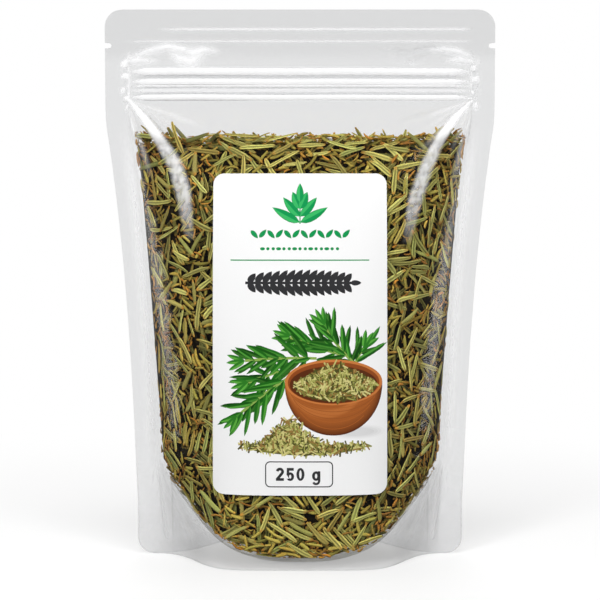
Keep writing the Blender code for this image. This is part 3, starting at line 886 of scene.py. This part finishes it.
class Bed:
    """One face of the contents, as a grid of places, and how deep it is already filled.

    Leaves are laid from the outside in: each lies straight behind what it would touch.
    """

    def __init__(self, place, out, pitch_along, usable, room, clearance):
        self.place, self.out, self.usable, self.room = place, out, usable, room
        self.rows, self.columns = usable.shape
        self.pitch_along, self.pitch_up, self.clearance = pitch_along, BED_STEP, clearance
        self.filled = np.zeros((self.rows * FINE, self.columns * FINE))
        self.bend_along = np.linalg.norm(np.gradient(out, axis=1), axis=-1) / pitch_along[:, None]
        self.bend_up = np.linalg.norm(np.gradient(out, axis=0), axis=-1) / self.pitch_up
        self.leaves = {name: [] for name in KINDS}

    def area(self, part):
        """Area in square millimetres of the places that are true in part."""
        return (part * self.pitch_along[:, None]).sum() * self.pitch_up / MM**2

    def read(self, grid, row, column):
        """Value between the grid's places."""
        row = min(max(row, 0.0), self.rows - 1.001)
        column = min(max(column, 0.0), self.columns - 1.001)
        r, c = int(row), int(column)
        fr, fc = row - r, column - c
        low = grid[r, c] * (1 - fc) + grid[r, c + 1] * fc
        high = grid[r + 1, c] * (1 - fc) + grid[r + 1, c + 1] * fc
        return low * (1 - fr) + high * fr

    def fine_cells(self, rows, columns):
        """Cells of the depth grid at the given places, kept inside it."""
        rows = np.clip((rows * FINE).astype(int), 0, self.filled.shape[0] - 1)
        columns = np.clip((columns * FINE).astype(int), 0, self.filled.shape[1] - 1)
        return rows, columns

    def end_point(self, row, column, depth):
        """Point at some depth under the bed's face; beyond the top row the face goes straight up."""
        over = max(0.0, row - (self.rows - 1)) * self.pitch_up
        lift = np.array((0.0, 0.0, over))
        return self.read(self.place, row, column) + lift - self.read(self.out, row, column) * depth

    def lay(self, draw, kind_name, row, column, angle, alone, reach_out):
        """Lay one leaf with its middle at (row, column), unless it doesn't fit there."""
        kind = KINDS[kind_name]
        length = draw.uniform(*kind["length"]) * MM
        width = draw.uniform(*kind["width"]) * MM
        thick = width * THICKNESS_SHARE
        pitch = self.pitch_along[int(row)]
        cos, sin = math.cos(angle), math.sin(angle)
        half = max(3, int(length / MM / TRIED_EVERY))
        s = np.linspace(-0.5, 0.5, 2 * half + 1) * length
        rows = row + s * sin / self.pitch_up
        columns = column + s * cos / pitch
        whole_r = np.clip(rows.astype(int), 0, self.rows - 1)
        whole_c = np.clip(columns.astype(int), 0, self.columns - 1)
        outside = (rows < 0) | (columns < 0) | (columns >= self.columns)
        if not reach_out:
            outside = outside | (rows >= self.rows)
        if outside.any() or not self.usable[whole_r, whole_c].all():
            return
        offsets = np.array((-0.4, 0.0, 0.4)) * width
        spots = rows[:, None] + offsets * cos / self.pitch_up, columns[:, None] - offsets * sin / pitch
        cells = self.fine_cells(*spots)
        touched = self.filled[cells]
        if alone and (touched > 0).mean() > MOST_OVERLAP:
            return
        r, c = whole_r[half], whole_c[half]
        bend = self.bend_along[r, c] * cos * cos + self.bend_up[r, c] * sin * sin
        sag = (length**2 / 4 - s**2) / 2 * bend
        line = resting_line(s, touched.max(axis=1) - sag)
        deep = line + sag + thick
        if deep.max() > DEEPEST or (deep > self.room[whole_r, whole_c]).any():
            return
        self.filled[cells] = np.maximum(touched, deep[:, None])
        one, two = (
            self.end_point(rows[i], columns[i], self.clearance + line[i] + thick / 2) for i in (0, -1)
        )
        axis = (two - one) / np.linalg.norm(two - one)
        out = self.read(self.out, row, column)
        out = out / np.linalg.norm(out)
        centre = (one + two) / 2
        self.leaves[kind_name].append(
            dict(centre=centre, axis=axis, out=out, length=length, width=width, thick=thick, deep=line.mean())
        )

    def scatter(self, draw, mix, count, alone=False, reach_out=False, where=True, steep=False):
        """Lay up to count leaves at random places; mix holds the share of each kind.

        Each takes the emptiest of a few random places. Leaves that may reach out over the top
        lie rather level near it, and steep leaves stand rather upright.
        """
        tries = 14
        names = list(mix)
        shares = np.array(list(mix.values()))
        spots = np.argwhere(self.usable & where)
        offsets = np.array((-0.42, -0.2, 0.0, 0.2, 0.42))
        for pick in draw.choice(len(names), int(count), p=shares / shares.sum()):
            name = names[pick]
            middle_length = sum(KINDS[name]["length"]) / 2 * MM
            spot = spots[draw.integers(len(spots), size=tries)] + draw.random((tries, 2))
            angle = draw.uniform(0, math.pi, tries)
            if steep:
                angle = draw.normal(math.pi / 2, 0.7, tries)
            if reach_out:
                level = draw.normal(0, 0.58, tries) % math.pi
                angle = np.where(spot[:, 0] > self.rows - LEVEL_ROWS, level, angle)
            pitch = self.pitch_along[spot[:, 0].astype(int)]
            along = offsets[None] * middle_length
            rows = spot[:, :1] + along * np.sin(angle)[:, None] / self.pitch_up
            columns = spot[:, 1:] + along * np.cos(angle)[:, None] / pitch[:, None]
            best = self.filled[self.fine_cells(rows, columns)].max(axis=1).argmin()
            self.lay(draw, name, spot[best, 0], spot[best, 1], angle[best], alone, reach_out)


def under_label(x, z):
    """Whether a place is so far under the label that it can't be seen from any side."""
    border = 7 * MM
    inside = np.abs(x) < LABEL_HALF_WIDTH - border
    return inside & (z > LABEL_LOW + border) & (z < LABEL_HIGH - border)


def wall_bed(side):
    """Bed of leaves against the front or back film, evenly spaced along its curve at each height."""
    z = np.arange(U_MIDDLE + 0.0005, FILL_TOP + HEAP_RISE, BED_STEP)
    columns = 184
    x = np.zeros((len(z), columns))
    pitch = np.zeros(len(z))
    for i, height in enumerate(z):
        tried = np.linspace(0, float(half_chord(height)), 400)
        depth = wall_depth(side, tried, height)
        other = wall_depth(-side, tried, height)
        keep = tried <= tried[np.minimum(depth, other) > LEAST_ROOM].max()
        run = np.concatenate(([0.0], np.cumsum(np.hypot(np.diff(tried[keep]), np.diff(depth[keep])))))
        spots = np.linspace(-run[-1], run[-1], columns)
        x[i] = np.sign(spots) * np.interp(np.abs(spots), run, tried[keep])
        pitch[i] = 2 * run[-1] / (columns - 1)
    z = np.repeat(z[:, None], columns, axis=1)
    place, out = wall(side, x, z)
    usable = z > seal_height(x) + 0.0007
    if side == FRONT:
        usable &= ~under_label(x, z)
    depth = wall_depth(side, x, z)
    room = np.where(depth < THIN_EDGE, depth * 2 - THIN_EDGE_MARGIN, depth - LEAF_CLEARANCE)
    return Bed(place, out, pitch, usable, room, LEAF_CLEARANCE)


def level_bed(up, height_at):
    """Bed of leaves on the top of the contents, up = 1, or on the bottom film, up = -1."""
    margin, clearance = 0.0022, 0.0006
    y = np.arange(-0.036, 0.0361, BED_STEP)
    x = np.linspace(-0.0755, 0.0755, 152)
    pitch = np.full(len(y), x[1] - x[0])
    x, y = np.meshgrid(x, y)
    z = height_at(x, y)
    place = np.stack((x, y, z), axis=-1)
    out = np.broadcast_to(np.array((0.0, 0.0, float(up))), place.shape).copy()
    usable = (y > margin - wall_depth(FRONT, x, z)) & (y < wall_depth(BACK, x, z) - margin)
    return Bed(place, out, pitch, usable, np.full(usable.shape, 1.0), clearance)


def heap_top(x, y):
    """Slightly wavy top of the contents."""
    return FILL_TOP + HEAP_RISE + 0.0008 * np.sin(x * 130)


def floor_under(x, y):
    """Height of the bottom film below the contents."""
    z = seal_height(x)
    front, back = wall_depth(FRONT, x, z), wall_depth(BACK, x, z)
    t = np.clip((y + front) / (front + back), 0, 1)
    return floor_height(x, t) + 0.0006


def contents(look):
    """Thousands of dried leaves round a dark core, in numbers worked out from each bed's area in mm2."""
    draw = np.random.default_rng(LEAF_SEED)
    beds = {
        "front": wall_bed(FRONT),
        "back": wall_bed(BACK),
        "top": level_bed(1, heap_top),
        "base": level_bed(-1, floor_under),
    }
    for name, bed in beds.items():
        area = bed.area(bed.usable)
        on_wall = name in ("front", "back")
        bed.scatter(draw, {"long": 1.0}, area / 45, alone=True, reach_out=on_wall)
        bed.scatter(draw, {"short": 0.55, "bit": 0.45}, area / 16, alone=True, reach_out=on_wall)
        if on_wall:
            rim, edge = bed.room < 0.0026, bed.room < 0.0075
            halves = {"short": 0.5, "bit": 0.5}
            bed.scatter(draw, halves, bed.area(rim) * 1.7, where=rim, steep=True)
            bed.scatter(draw, halves, bed.area(edge) * 0.28, where=edge, reach_out=True)
        bed.scatter(draw, {"long": 0.34, "short": 0.36, "bit": 0.30}, area * 0.20, reach_out=on_wall)
        bed.scatter(draw, {"short": 0.4, "bit": 0.6}, area * (0.06 if on_wall else 0.14))
    for name, bed in beds.items():
        for kind_name, leaves in bed.leaves.items():
            leaf_pieces(f"rosemary_{name}_{kind_name}", kind_name, leaves, look, draw)
    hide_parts(*LEAF_NODES)


def core(look):
    """Bumpy body behind the leaves, dark as painted shade."""
    parts, climb_rows, cross_rows = 60, 60, 14
    inset, least_share = 0.0072, 0.18
    bump_height, bump_width, bumpy_from = 0.35 * MM, 0.006, 0.004
    x_share = np.linspace(-0.965, 0.965, parts)
    foot = seal_height(x_share * float(half_chord(U_MIDDLE))) + 0.0035
    top = FILL_TOP - 0.0015
    t = np.linspace(0, 1, climb_rows)[None, :]
    z = foot[:, None] + (top - foot[:, None]) * t
    x = x_share[:, None] * half_chord(z)
    sides = []
    for side in (FRONT, BACK):
        depth = wall_depth(side, x, z)
        inner = np.maximum(depth - inset, least_share * depth)
        inner = inner + bump_height * field(x, z, bump_width, 71 + side) * (inner > bumpy_from)
        sides.append(np.stack((x, side * inner, z), axis=-1))
    s = (np.arange(1, cross_rows) / cross_rows)[None, :, None]
    over = sides[0][:, -1:] * (1 - s) + sides[1][:, -1:] * s
    under = sides[1][:, :1] * (1 - s) + sides[0][:, :1] * s
    rings = np.concatenate((sides[0], over, sides[1][:, ::-1], under), axis=1)
    around = rings.shape[1]
    index = np.arange(parts * around).reshape(parts, around)
    quads = tube_quads(index)
    loops = np.concatenate((quads.ravel(), index[0], index[-1][::-1]))
    sizes = np.concatenate((np.full(len(quads), 4), (around, around)))
    made = mesh_piece("rosemary_core", rings.reshape(-1, 3), loops, sizes, look)
    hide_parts("rosemary_fill")


# ---------------------------------------------------------------- label, in mm
def srgb(*levels):
    """Linear colour from 0 to 255 display levels."""
    share = np.array(levels) / 255
    return np.where(share <= 0.04045, share / 12.92, ((share + 0.055) / 1.055) ** 2.4)


PRINT_SEED = 5
PAPER_WHITE = srgb(227, 227, 227)
PRINT_GREEN = srgb(8, 137, 72)
PRINT_DARK = srgb(46, 46, 48)
WOOD, WOOD_DARK, WOOD_LIGHT = srgb(150, 82, 34), srgb(84, 40, 16), srgb(186, 112, 56)
WOOD_RIM = srgb(132, 66, 26)
CRUMBS = (
    srgb(176, 172, 102), srgb(146, 148, 76), srgb(112, 112, 52),
    srgb(196, 188, 124), srgb(134, 104, 54), srgb(70, 68, 30),
)
# Fresh sprigs, as (x, z, degrees, length, bend, pairs of needles)
SPRIGS = (
    (-2.3, 92.0, 198, 22, 0.05, 4), (18.3, 97.0, 162, 24, -0.05, 5), (24.0, 92.0, 66, 9, -0.15, 2),
    (24.4, 93.0, 136, 22, -0.30, 5), (7.4, 95.5, 178, 32, 0.16, 6), (-5.9, 86.5, 213, 28, 0.18, 6),
)


def finely(outline, longest=2.0):
    """Closed outline with points added on its long edges, so that it can follow a curved sheet."""
    points = []
    for a, b in zip(outline, np.roll(outline, -1, axis=0)):
        parts = max(1, math.ceil(np.linalg.norm(b - a) / longest))
        points += [a + (b - a) * i / parts for i in range(parts)]
    return np.array(points)


def rounded_box(x, z, wide, high, radius, steps=6):
    """Outline of a box with round corners, from its middle and half sizes."""
    outline = []
    for corner_x, corner_z, start in ((1, 1, 0), (-1, 1, 90), (-1, -1, 180), (1, -1, 270)):
        middle_x, middle_z = x + corner_x * (wide - radius), z + corner_z * (high - radius)
        for i in range(steps + 1):
            turn = math.radians(start + 90 * i / steps)
            outline.append((middle_x + radius * math.cos(turn), middle_z + radius * math.sin(turn)))
    return outline


def box(left, right, low, high):
    """Outline of a plain box."""
    return [(left, low), (right, low), (right, high), (left, high)]


def arc(x, z, wide, high, start, end, count):
    """Points on part of an ellipse, from one angle in degrees to another."""
    turn = np.radians(np.linspace(start, end, count))
    return [(x + wide * math.cos(a), z + high * math.sin(a)) for a in turn]


class Print:
    """Flat shapes on the label, placed from its middle and from the floor, painted in order."""

    def __init__(self):
        self.shapes = []

    def polygon(self, outline, color):
        """Closed outline of one colour."""
        outline = np.array(outline, dtype=float)
        x, z = outline[:, 0], outline[:, 1]
        turned = np.sum(x * np.roll(z, -1) - np.roll(x, -1) * z) < 0
        self.shapes.append((finely(outline[::-1] if turned else outline), np.array(color)))

    def blade(self, x, z, angle, length, width, color, second=None, blunt=0.5, bend=0.0):
        """Narrow leaf from its foot at (x, z), with a second colour on one half if there is one."""
        t = np.linspace(0, 1, 7)
        half = width / 2 * np.sin(math.pi * t**0.8) ** blunt
        off = bend * length * t**2
        cos, sin = math.cos(angle), math.sin(angle)

        def curve(share):
            """Points of the rib, moved aside by a share of the half width."""
            along, across = length * t, share * half + off
            return list(zip(x + along * cos - across * sin, z + along * sin + across * cos))

        self.polygon(curve(1) + curve(-1)[-2:0:-1], color)
        if second is not None:
            self.polygon(curve(0.85) + curve(0)[-2:0:-1], second)

    def stroke(self, points, width, color):
        """Line of one width through its points."""
        points = np.array(points, dtype=float)
        run = np.gradient(points, axis=0)
        run /= np.linalg.norm(run, axis=1, keepdims=True)
        side = np.stack((-run[:, 1], run[:, 0]), axis=-1) * width / 2
        self.polygon(np.concatenate((points + side, (points - side)[::-1])), color)

    def ellipse(self, x, z, wide, high, color, count=28):
        """Filled ellipse."""
        turn = np.arange(count) * math.tau / count
        self.polygon(np.stack((x + wide * np.cos(turn), z + high * np.sin(turn)), axis=-1), color)

    def crumbs(self, draw, spots, longest):
        """Small dried leaves lying at the given (depth, x, z) spots, the hindmost first."""
        for _, x, z in sorted(spots):
            color = CRUMBS[draw.integers(len(CRUMBS))]
            turn = draw.uniform(0, math.pi)
            half = draw.uniform(0.6, 1.0) * longest / 2
            half_x, half_z = half * math.cos(turn), half * math.sin(turn)
            self.stroke([(x - half_x, z - half_z), (x + half_x, z + half_z)], draw.uniform(0.5, 0.8), color)


def emblem(art):
    """Sprig mark of this label's own design: a stem with paired leaves."""
    foot, pale = 155.4, srgb(52, 168, 92)
    art.stroke([(0, foot), (0, foot + 6), (0, foot + 12)], 0.55, PRINT_GREEN)
    for rise, spread, length in ((0.6, 24, 14.2), (3.2, 44, 11.5), (6.6, 62, 8.4)):
        for hand in (-1, 1):
            turn = math.radians(90 - hand * (90 - spread))
            art.blade(0, foot + rise, turn, length, 4.0, PRINT_GREEN, pale, 0.8, 0.08 * hand)
    art.blade(0, foot + 9.6, math.radians(90), 8.6, 3.4, PRINT_GREEN, pale, 0.8)


def ornaments(art):
    """Rows of twigs and dots where a label would have its words, a rule, and one dark twig."""
    twigs_z, dots_z, rule_z, twig_z = 150.9, 144.3, 138.95, 129.1
    for i in range(12):
        x = -20.6 + 41.2 * i / 11
        tilt = math.radians(48 if i % 2 else -48)
        foot = (x - 2.2 * math.cos(tilt), twigs_z - 2.2 * math.sin(tilt))
        art.blade(*foot, tilt, 4.9, 2.1, PRINT_GREEN, None, 0.8)
    for i in range(15):
        art.ellipse(-16.8 + 33.6 * i / 14, dots_z, 0.75 if i % 3 else 1.15, 0.7, PRINT_GREEN, 12)
    art.polygon(box(-31.1, 31.0, rule_z, rule_z + 0.55), PRINT_GREEN)
    art.stroke([(-24.5, twig_z), (24.5, twig_z)], 1.2, PRINT_DARK)
    for i in range(14):
        reach = 7.6 - 2.2 * abs(2 * i / 13 - 1) ** 2
        for hand in (-1, 1):
            foot_x = -22.0 + 43.0 * i / 13 - 1.2
            art.blade(foot_x, twig_z, hand * math.radians(52), reach, 3.0, PRINT_DARK, None, 0.7)
    art.blade(22.5, twig_z, 0.0, 5.0, 2.4, PRINT_DARK, None, 0.7)


def sprig(art, draw, x, z, degrees, length, bend, pairs):
    """Fresh sprig: needles in pairs along a pale stem, with darker and wider ones behind it."""
    angle = math.radians(degrees)
    t = np.linspace(0, 1, 12)
    heading = angle + bend * t
    step = length / 11
    xs = x + np.concatenate(([0], np.cumsum(np.cos(heading[:-1]) * step)))
    zs = z + np.concatenate(([0], np.cumsum(np.sin(heading[:-1]) * step)))

    def needles(shade, wider):
        """All pairs of needles, in one shade."""
        for i in range(pairs):
            for hand in (-1, 1):
                share = min(0.97, 0.04 + 0.93 * (i + draw.uniform(0, 0.6)) / pairs)
                foot = np.interp(share, t, xs), np.interp(share, t, zs)
                spread = math.radians(draw.uniform(16, 58)) * wider * (1.1 - 0.4 * share)
                reach = draw.uniform(9.5, 16.5) * (1 - 0.20 * share**2)
                dark = srgb(26, 92, 20) * shade * draw.uniform(0.7, 1.2)
                pale = srgb(66, 134, 46) * shade * draw.uniform(0.8, 1.25)
                turn = angle + bend * share + hand * spread
                bow = hand * draw.uniform(-0.16, 0.06)
                art.blade(*foot, turn, reach, draw.uniform(1.9, 2.5), dark, pale, 0.42, bow)

    needles(0.62, 1.2)
    art.stroke(list(zip(xs, zs)), 1.2, srgb(128, 158, 74))
    needles(1.0, 1.0)
    for spread in (-0.42, 0.0, 0.42):
        turn = angle + bend + spread
        art.blade(xs[-1], zs[-1], turn, 8.5, 2.2, srgb(40, 112, 30), srgb(84, 156, 58), 0.6)


def bowl(art, draw):
    """Turned wooden bowl full of dried leaves, with its soft shadow."""
    middle, rim, wide, high, deep = 15.0, 84.8, 21.8, 10.2, 23.8
    for i in range(4):
        art.ellipse(25.0, 62.6, 13.0 - 1.6 * i, 3.4 - 0.5 * i, PAPER_WHITE * (0.96 - 0.06 * i), 30)
    turn = np.linspace(math.pi, math.tau, 34)
    for share in np.arange(9) / 8:
        x = middle - 1.2 * share + np.cos(turn) * wide * (1 - 0.10 * share)
        z = rim - np.abs(np.sin(turn)) ** 0.92 * deep * (1 - 0.24 * share)
        art.polygon(list(zip(x, z)), WOOD_DARK + (WOOD - WOOD_DARK) * share**0.7)
    for i in range(6):
        upper = arc(middle - 3.5, rim + 1.0, 18.5 - i / 5, 17.5 - 1.2 * i / 5, 190, 330, 20)
        lower = arc(middle - 3.5, rim + 1.0, 18.0 - i / 5, 12.5 + 1.2 * i / 5, 330, 190, 20)
        art.polygon(upper + lower, WOOD + (WOOD_LIGHT - WOOD) * i / 5 * 0.55)
    for i in range(7):
        grain = arc(middle, rim, wide - 0.6 - 0.3 * i, 11.6 + 1.55 * i, 196 + 4 * i, 344 - 5 * i, 24)
        art.stroke(grain, 0.28, WOOD * (0.84 if i % 2 else 1.12))
    art.ellipse(middle, rim, wide, high, WOOD_LIGHT, 48)
    art.ellipse(middle, rim - 0.2, wide - 1.3, high - 0.9, WOOD_RIM, 48)
    art.ellipse(middle, rim - 1.0, wide - 2.2, high - 1.9, WOOD_DARK, 44)
    spots = []
    while len(spots) < 470:
        x, z = draw.uniform(-1, 1), draw.uniform(-1, 1)
        if x * x + z * z < 0.96:
            rise = 9.4 * max(0.0, 1 - abs(x) ** 1.5) if z > 0 else 7.6
            spots.append((-z, middle + 0.8 + x * 18.6, rim - 0.6 + z * rise))
    ground = arc(middle + 0.8, rim - 0.6, 18.8, 7.8, 180, 360, 26)
    for x in np.linspace(0.95, -0.95, 21):
        ground.append((middle + 0.8 + 18.6 * x, rim - 0.6 + 8.6 * max(0.0, 1 - abs(x) ** 1.5)))
    art.polygon(ground, srgb(74, 70, 30))
    art.crumbs(draw, spots, 4.0)


def heap(art, draw):
    """Small heap of dried leaves in front of the bowl."""

    def profile(x, low, foot, tall, peak, width, wide):
        """Lower and upper point of the heap at a share x of its half width."""
        bottom = (2.0 + wide * x, low[0] - low[1] * math.cos(x * math.pi / 2))
        top = (2.0 + wide * x, foot + tall * math.exp(-(((x - peak) / width) ** 2)) * (1 - x * x))
        return bottom, top

    spots = []
    while len(spots) < 480:
        x, share = draw.uniform(-1, 1), draw.uniform(0, 1)
        (place, low), (_, top) = profile(x, (55.6, 3.2), 57.0, 12.6, -0.26, 0.34, 28.5)
        if draw.random() < 0.10 + 0.90 * (top - low) / 17:
            z = low + (top - low) * share
            spots.append((-z, place, z))
    inner = (54.5, 2.4), 56.4, 11.2, -0.29, 0.36, 25.0
    mound = [profile(x, *inner)[0] for x in np.linspace(-0.9, 0.9, 12)]
    mound += [profile(x, *inner)[1] for x in np.linspace(0.86, -0.86, 22)]
    art.polygon(mound, srgb(84, 80, 34))
    art.crumbs(draw, spots, 4.8)


def weight_box(art):
    """Outlined box with the plain weight in it."""
    x, z = -0.4, 43.65
    tall, wide, bold = 2.9, 1.7, 1.25
    base, cap = z - tall, z + tall
    art.polygon(rounded_box(x, z, 15.2, 5.85, 2.2), PRINT_DARK)
    art.polygon(rounded_box(x, z, 14.7, 5.35, 1.75), PAPER_WHITE)

    def shifted(points, by):
        return [(x + by + px, pz) for px, pz in points]

    def ring(by, high, tall_ring, wide_ring):
        art.ellipse(x + by, high, wide_ring, tall_ring, PRINT_DARK, 30)
        art.ellipse(x + by, high, wide_ring - bold, tall_ring - bold * 0.85, PAPER_WHITE, 26)

    two = arc(0, cap - wide, wide - 0.5, wide - 0.5, 170, -40, 12) + [(-wide + 0.6, base + 0.9)]
    art.stroke(shifted(two, -8.6), bold, PRINT_DARK)
    art.polygon(shifted(box(-wide - 0.1, wide + 0.1, base, base + bold), -8.6), PRINT_DARK)
    ring(-4.0, z - 1.0, 1.95, wide + 0.05)
    opening = [(-wide - 0.2, z - 1.9), (-wide - 0.2, z + 0.5), (-0.5, z - 1.9)]
    art.polygon(shifted(opening, -4.0), PAPER_WHITE)
    neck = [(-1.45, cap), (-1.65, z - 0.35), (-0.5, z - 0.35), (-0.3, cap)]
    art.polygon(shifted(neck, -4.0), PRINT_DARK)
    art.polygon(shifted(box(-1.45, wide - 0.1, cap - bold, cap), -4.0), PRINT_DARK)
    ring(0.6, z, tall, wide + 0.1)
    ring(7.6, z - 0.75, 2.15, wide + 0.1)
    art.polygon(shifted(box(wide - 0.9, wide + 0.2, z - 3.2, z + 1.4), 7.6), PRINT_DARK)
    art.stroke(shifted(arc(0, z - 3.1, wide - 0.4, 1.25, 0, -160, 10), 7.6), 1.05, PRINT_DARK)


def printed_sheet(art, middle, wide, high):
    """Triangles of the flat label that follow every printed outline: points, corners, colours."""
    radius, columns, rows = LABEL_RADIUS / MM, 38, 72
    border = finely(np.array(rounded_box(0, middle, wide, high, radius, 10)))
    points, faces = [], []
    for outline in [border] + [outline for outline, _ in art.shapes]:
        faces.append(list(range(len(points), len(points) + len(outline))))
        points += [tuple(p) for p in outline]
    for i in range(1, columns):
        for j in range(1, rows):
            x, z = -wide + 2 * wide * i / columns, middle - high + 2 * high * j / rows
            off = max(abs(x) - wide + radius, 0), max(abs(z - middle) - high + radius, 0)
            if math.hypot(*off) < radius - 0.3:
                points.append((x, z))
    flat, _, corners, _, _, origin = delaunay_2d_cdt([Vector(p) for p in points], [], faces, 1, 1e-4, True)
    flat, corners = np.array([(p.x, p.y) for p in flat]), np.array(list(corners))
    paints = [PAPER_WHITE] + [color for _, color in art.shapes]
    colors = np.array([paints[max(sources, default=0)] for sources in origin])
    a, b, c = flat[corners[:, 0]], flat[corners[:, 1]], flat[corners[:, 2]]
    turned = (b[:, 0] - a[:, 0]) * (c[:, 1] - a[:, 1]) - (b[:, 1] - a[:, 1]) * (c[:, 0] - a[:, 0]) < 0
    corners[turned] = corners[turned][:, ::-1]
    return flat, corners, colors


def label(look):
    """Printed paper label: one sheet whose faces follow the outlines of the print."""
    art = Print()
    draw = np.random.default_rng(PRINT_SEED)
    emblem(art)
    ornaments(art)
    for shape in SPRIGS:
        sprig(art, draw, *shape)
    bowl(art, draw)
    heap(art, draw)
    weight_box(art)
    middle, high = (LABEL_LOW + LABEL_HIGH) / 2 / MM, (LABEL_HIGH - LABEL_LOW) / 2 / MM
    flat, corners, colors = printed_sheet(art, middle, LABEL_HALF_WIDTH / MM, high)
    base, normal = wall(FRONT, flat[:, 0] * MM, flat[:, 1] * MM)
    lower = base + normal * (FILM + GAP)
    upper = lower + normal * LABEL_PAPER
    count = len(flat)
    edges = dict.fromkeys((t[i], t[(i + 1) % 3]) for t in corners for i in range(3))
    rim = [(p, q) for p, q in edges if (q, p) not in edges]
    skirt = [(p, p + count, q + count) for p, q in rim] + [(p, q + count, q) for p, q in rim]
    loops = np.concatenate((corners.ravel(), (corners[:, ::-1] + count).ravel(), np.array(skirt).ravel()))
    sizes = np.full(len(loops) // 3, 3)
    made = mesh_piece("front_label_paper", np.concatenate((upper, lower)), loops, sizes, look)
    plain = np.tile(PAPER_WHITE, (len(loops) - corners.size, 1))
    vertex_colors(made, np.concatenate((np.repeat(colors, 3, axis=0), plain)), "CORNER")
    made.data.set_sharp_from_angle(angle=math.radians(40))
    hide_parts("front_label")


# ---------------------------------------------------------------- studio
WHITE = (1.0, 1.0, 1.0, 1.0)


def floor_material():
    """White floor that brightens away from the pouch until it is as white as the air behind it."""
    made, add, place = new_material("studio_white")
    far = add("VectorMath", {0: place}, operation="LENGTH").outputs["Value"]
    away = ranged(add, far, 0.05, 0.42, interpolation_type="SMOOTHSTEP")
    normal = bumped(add, noise(add, place, 300.0), 0.05, 0.0005)
    matt = add("BsdfDiffuse", {"Color": (0.56, 0.56, 0.56, 1.0), "Normal": normal})
    lift = add("Emission", {"Color": WHITE, "Strength": 0.43})
    near = add("AddShader", {0: matt.outputs[0], 1: lift.outputs[0]})
    both = mixed(add, away, near, add("Emission", {"Color": WHITE, "Strength": 1.0}))
    add("OutputMaterial", {"Surface": both.outputs[0]})
    return made


def stage_floor():
    """Flat round floor that neither shows in the film nor lights the pouch."""
    around, reach = 96, 3.2
    turn = np.arange(around) * math.tau / around
    ring = np.stack((np.cos(turn), np.sin(turn), np.zeros(around)), axis=-1) * reach
    mesh = bpy.data.meshes.new("studio_floor")
    mesh.from_pydata(ring.tolist(), [], [list(range(around))])
    mesh.materials.append(floor_material())
    floor = bpy.data.objects.new("studio_floor", mesh)
    bpy.context.scene.collection.objects.link(floor)
    floor.visible_glossy = False
    floor.visible_diffuse = False


def softbox(name, place, size, watts, mirrored=False):
    """Rectangular soft light aimed at the pouch; a mirrored one only makes highlights."""
    data = bpy.data.lights.new(name, "AREA")
    data.shape = "RECTANGLE"
    data.size, data.size_y = size
    data.energy = watts
    made = bpy.data.objects.new(name, data)
    made.location = place
    aim = Vector((0.0, 0.0, 0.12))
    made.rotation_euler = (aim - made.location).to_track_quat("-Z", "Y").to_euler()
    made.visible_glossy = mirrored
    made.visible_diffuse = not mirrored
    made.visible_camera = False
    bpy.context.scene.collection.objects.link(made)


def lights():
    """Soft keys from the top and both sides, a fill behind, and bright strips for the film to mirror."""
    softbox("key_top", (0.0, -0.42, 1.05), (0.45, 0.3), 4.2)
    softbox("key_left", (-0.58, -0.90, 0.44), (0.28, 0.28), 7.8)
    softbox("key_right", (0.66, -0.84, 0.36), (0.28, 0.28), 5.2)
    softbox("back_fill", (0.0, 0.9, 0.8), (0.8, 0.5), 5.0)
    for name, sign in (("left", -1), ("right", 1)):
        softbox(f"strip_{name}", (0.92 * sign, 0.24, 0.30), (0.22, 0.8), 1.7, mirrored=True)
        softbox(f"corner_{name}", (0.62 * sign, -0.62, 0.72), (0.22, 0.30), 0.6, mirrored=True)


def camera():
    """Camera in front of the pouch, a little above its middle and tilted down."""
    data = bpy.data.cameras.new("camera")
    data.sensor_width = 36.0
    data.lens = 103.25
    data.dof.use_dof = False
    made = bpy.data.objects.new("camera", data)
    made.location = (0.0, -0.80, 0.175)
    aim = Vector((0.0, 0.0, 0.1194))
    made.rotation_euler = (aim - made.location).to_track_quat("-Z", "Y").to_euler()
    bpy.context.scene.collection.objects.link(made)
    bpy.context.scene.camera = made


def air():
    """White backdrop for the camera, a soft fill for the pouch, and little for the film to mirror."""
    world = bpy.data.worlds.new("studio_air")
    add = node_adder(world)
    seen, fill, dim = (
        add("Background", {"Color": WHITE, "Strength": strength}) for strength in (1.0, 0.20, 0.05)
    )
    ray = add("LightPath").outputs
    soft = mixed(add, ray["Is Glossy Ray"], fill, dim)
    both = mixed(add, ray["Is Camera Ray"], soft, seen)
    add("OutputWorld", {"Surface": both.outputs[0]})
    bpy.context.scene.world = world


def light_paths():
    """Plain colours, and enough bounces to see through all the layers of film."""
    scene = bpy.context.scene
    scene.view_settings.view_transform = "Standard"
    scene.view_settings.look = "None"
    scene.cycles.transparent_max_bounces = 32
    scene.cycles.max_bounces = 10
    scene.cycles.diffuse_bounces = 2


# ---------------------------------------------------------------- assembly
clear_film = film_material("clear_film", (0.969, 0.970, 0.971), (0.930, 0.931, 0.932), 0.035)
inner_film = film_material("clear_bottom_film", (0.996, 0.996, 0.997), (0.990, 0.990, 0.991), 0.006)
film_panel("front_film_sheet", FRONT, clear_film, "front_film")
film_panel("back_film_sheet", BACK, clear_film, "back_film")
bottom_film(inner_film)
zip_plastic = zip_material()
for name in ("zip_groove_strip", "zip_rib_strip"):
    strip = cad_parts[name]
    strip.data.materials.clear()
    strip.data.materials.append(zip_plastic)
# The core is painted near black as the shade deep among the leaves
core(painted_shade_core_material())
contents(leaf_material())
label(paper_material())
stage_floor()
camera()
lights()
air()
light_paths()
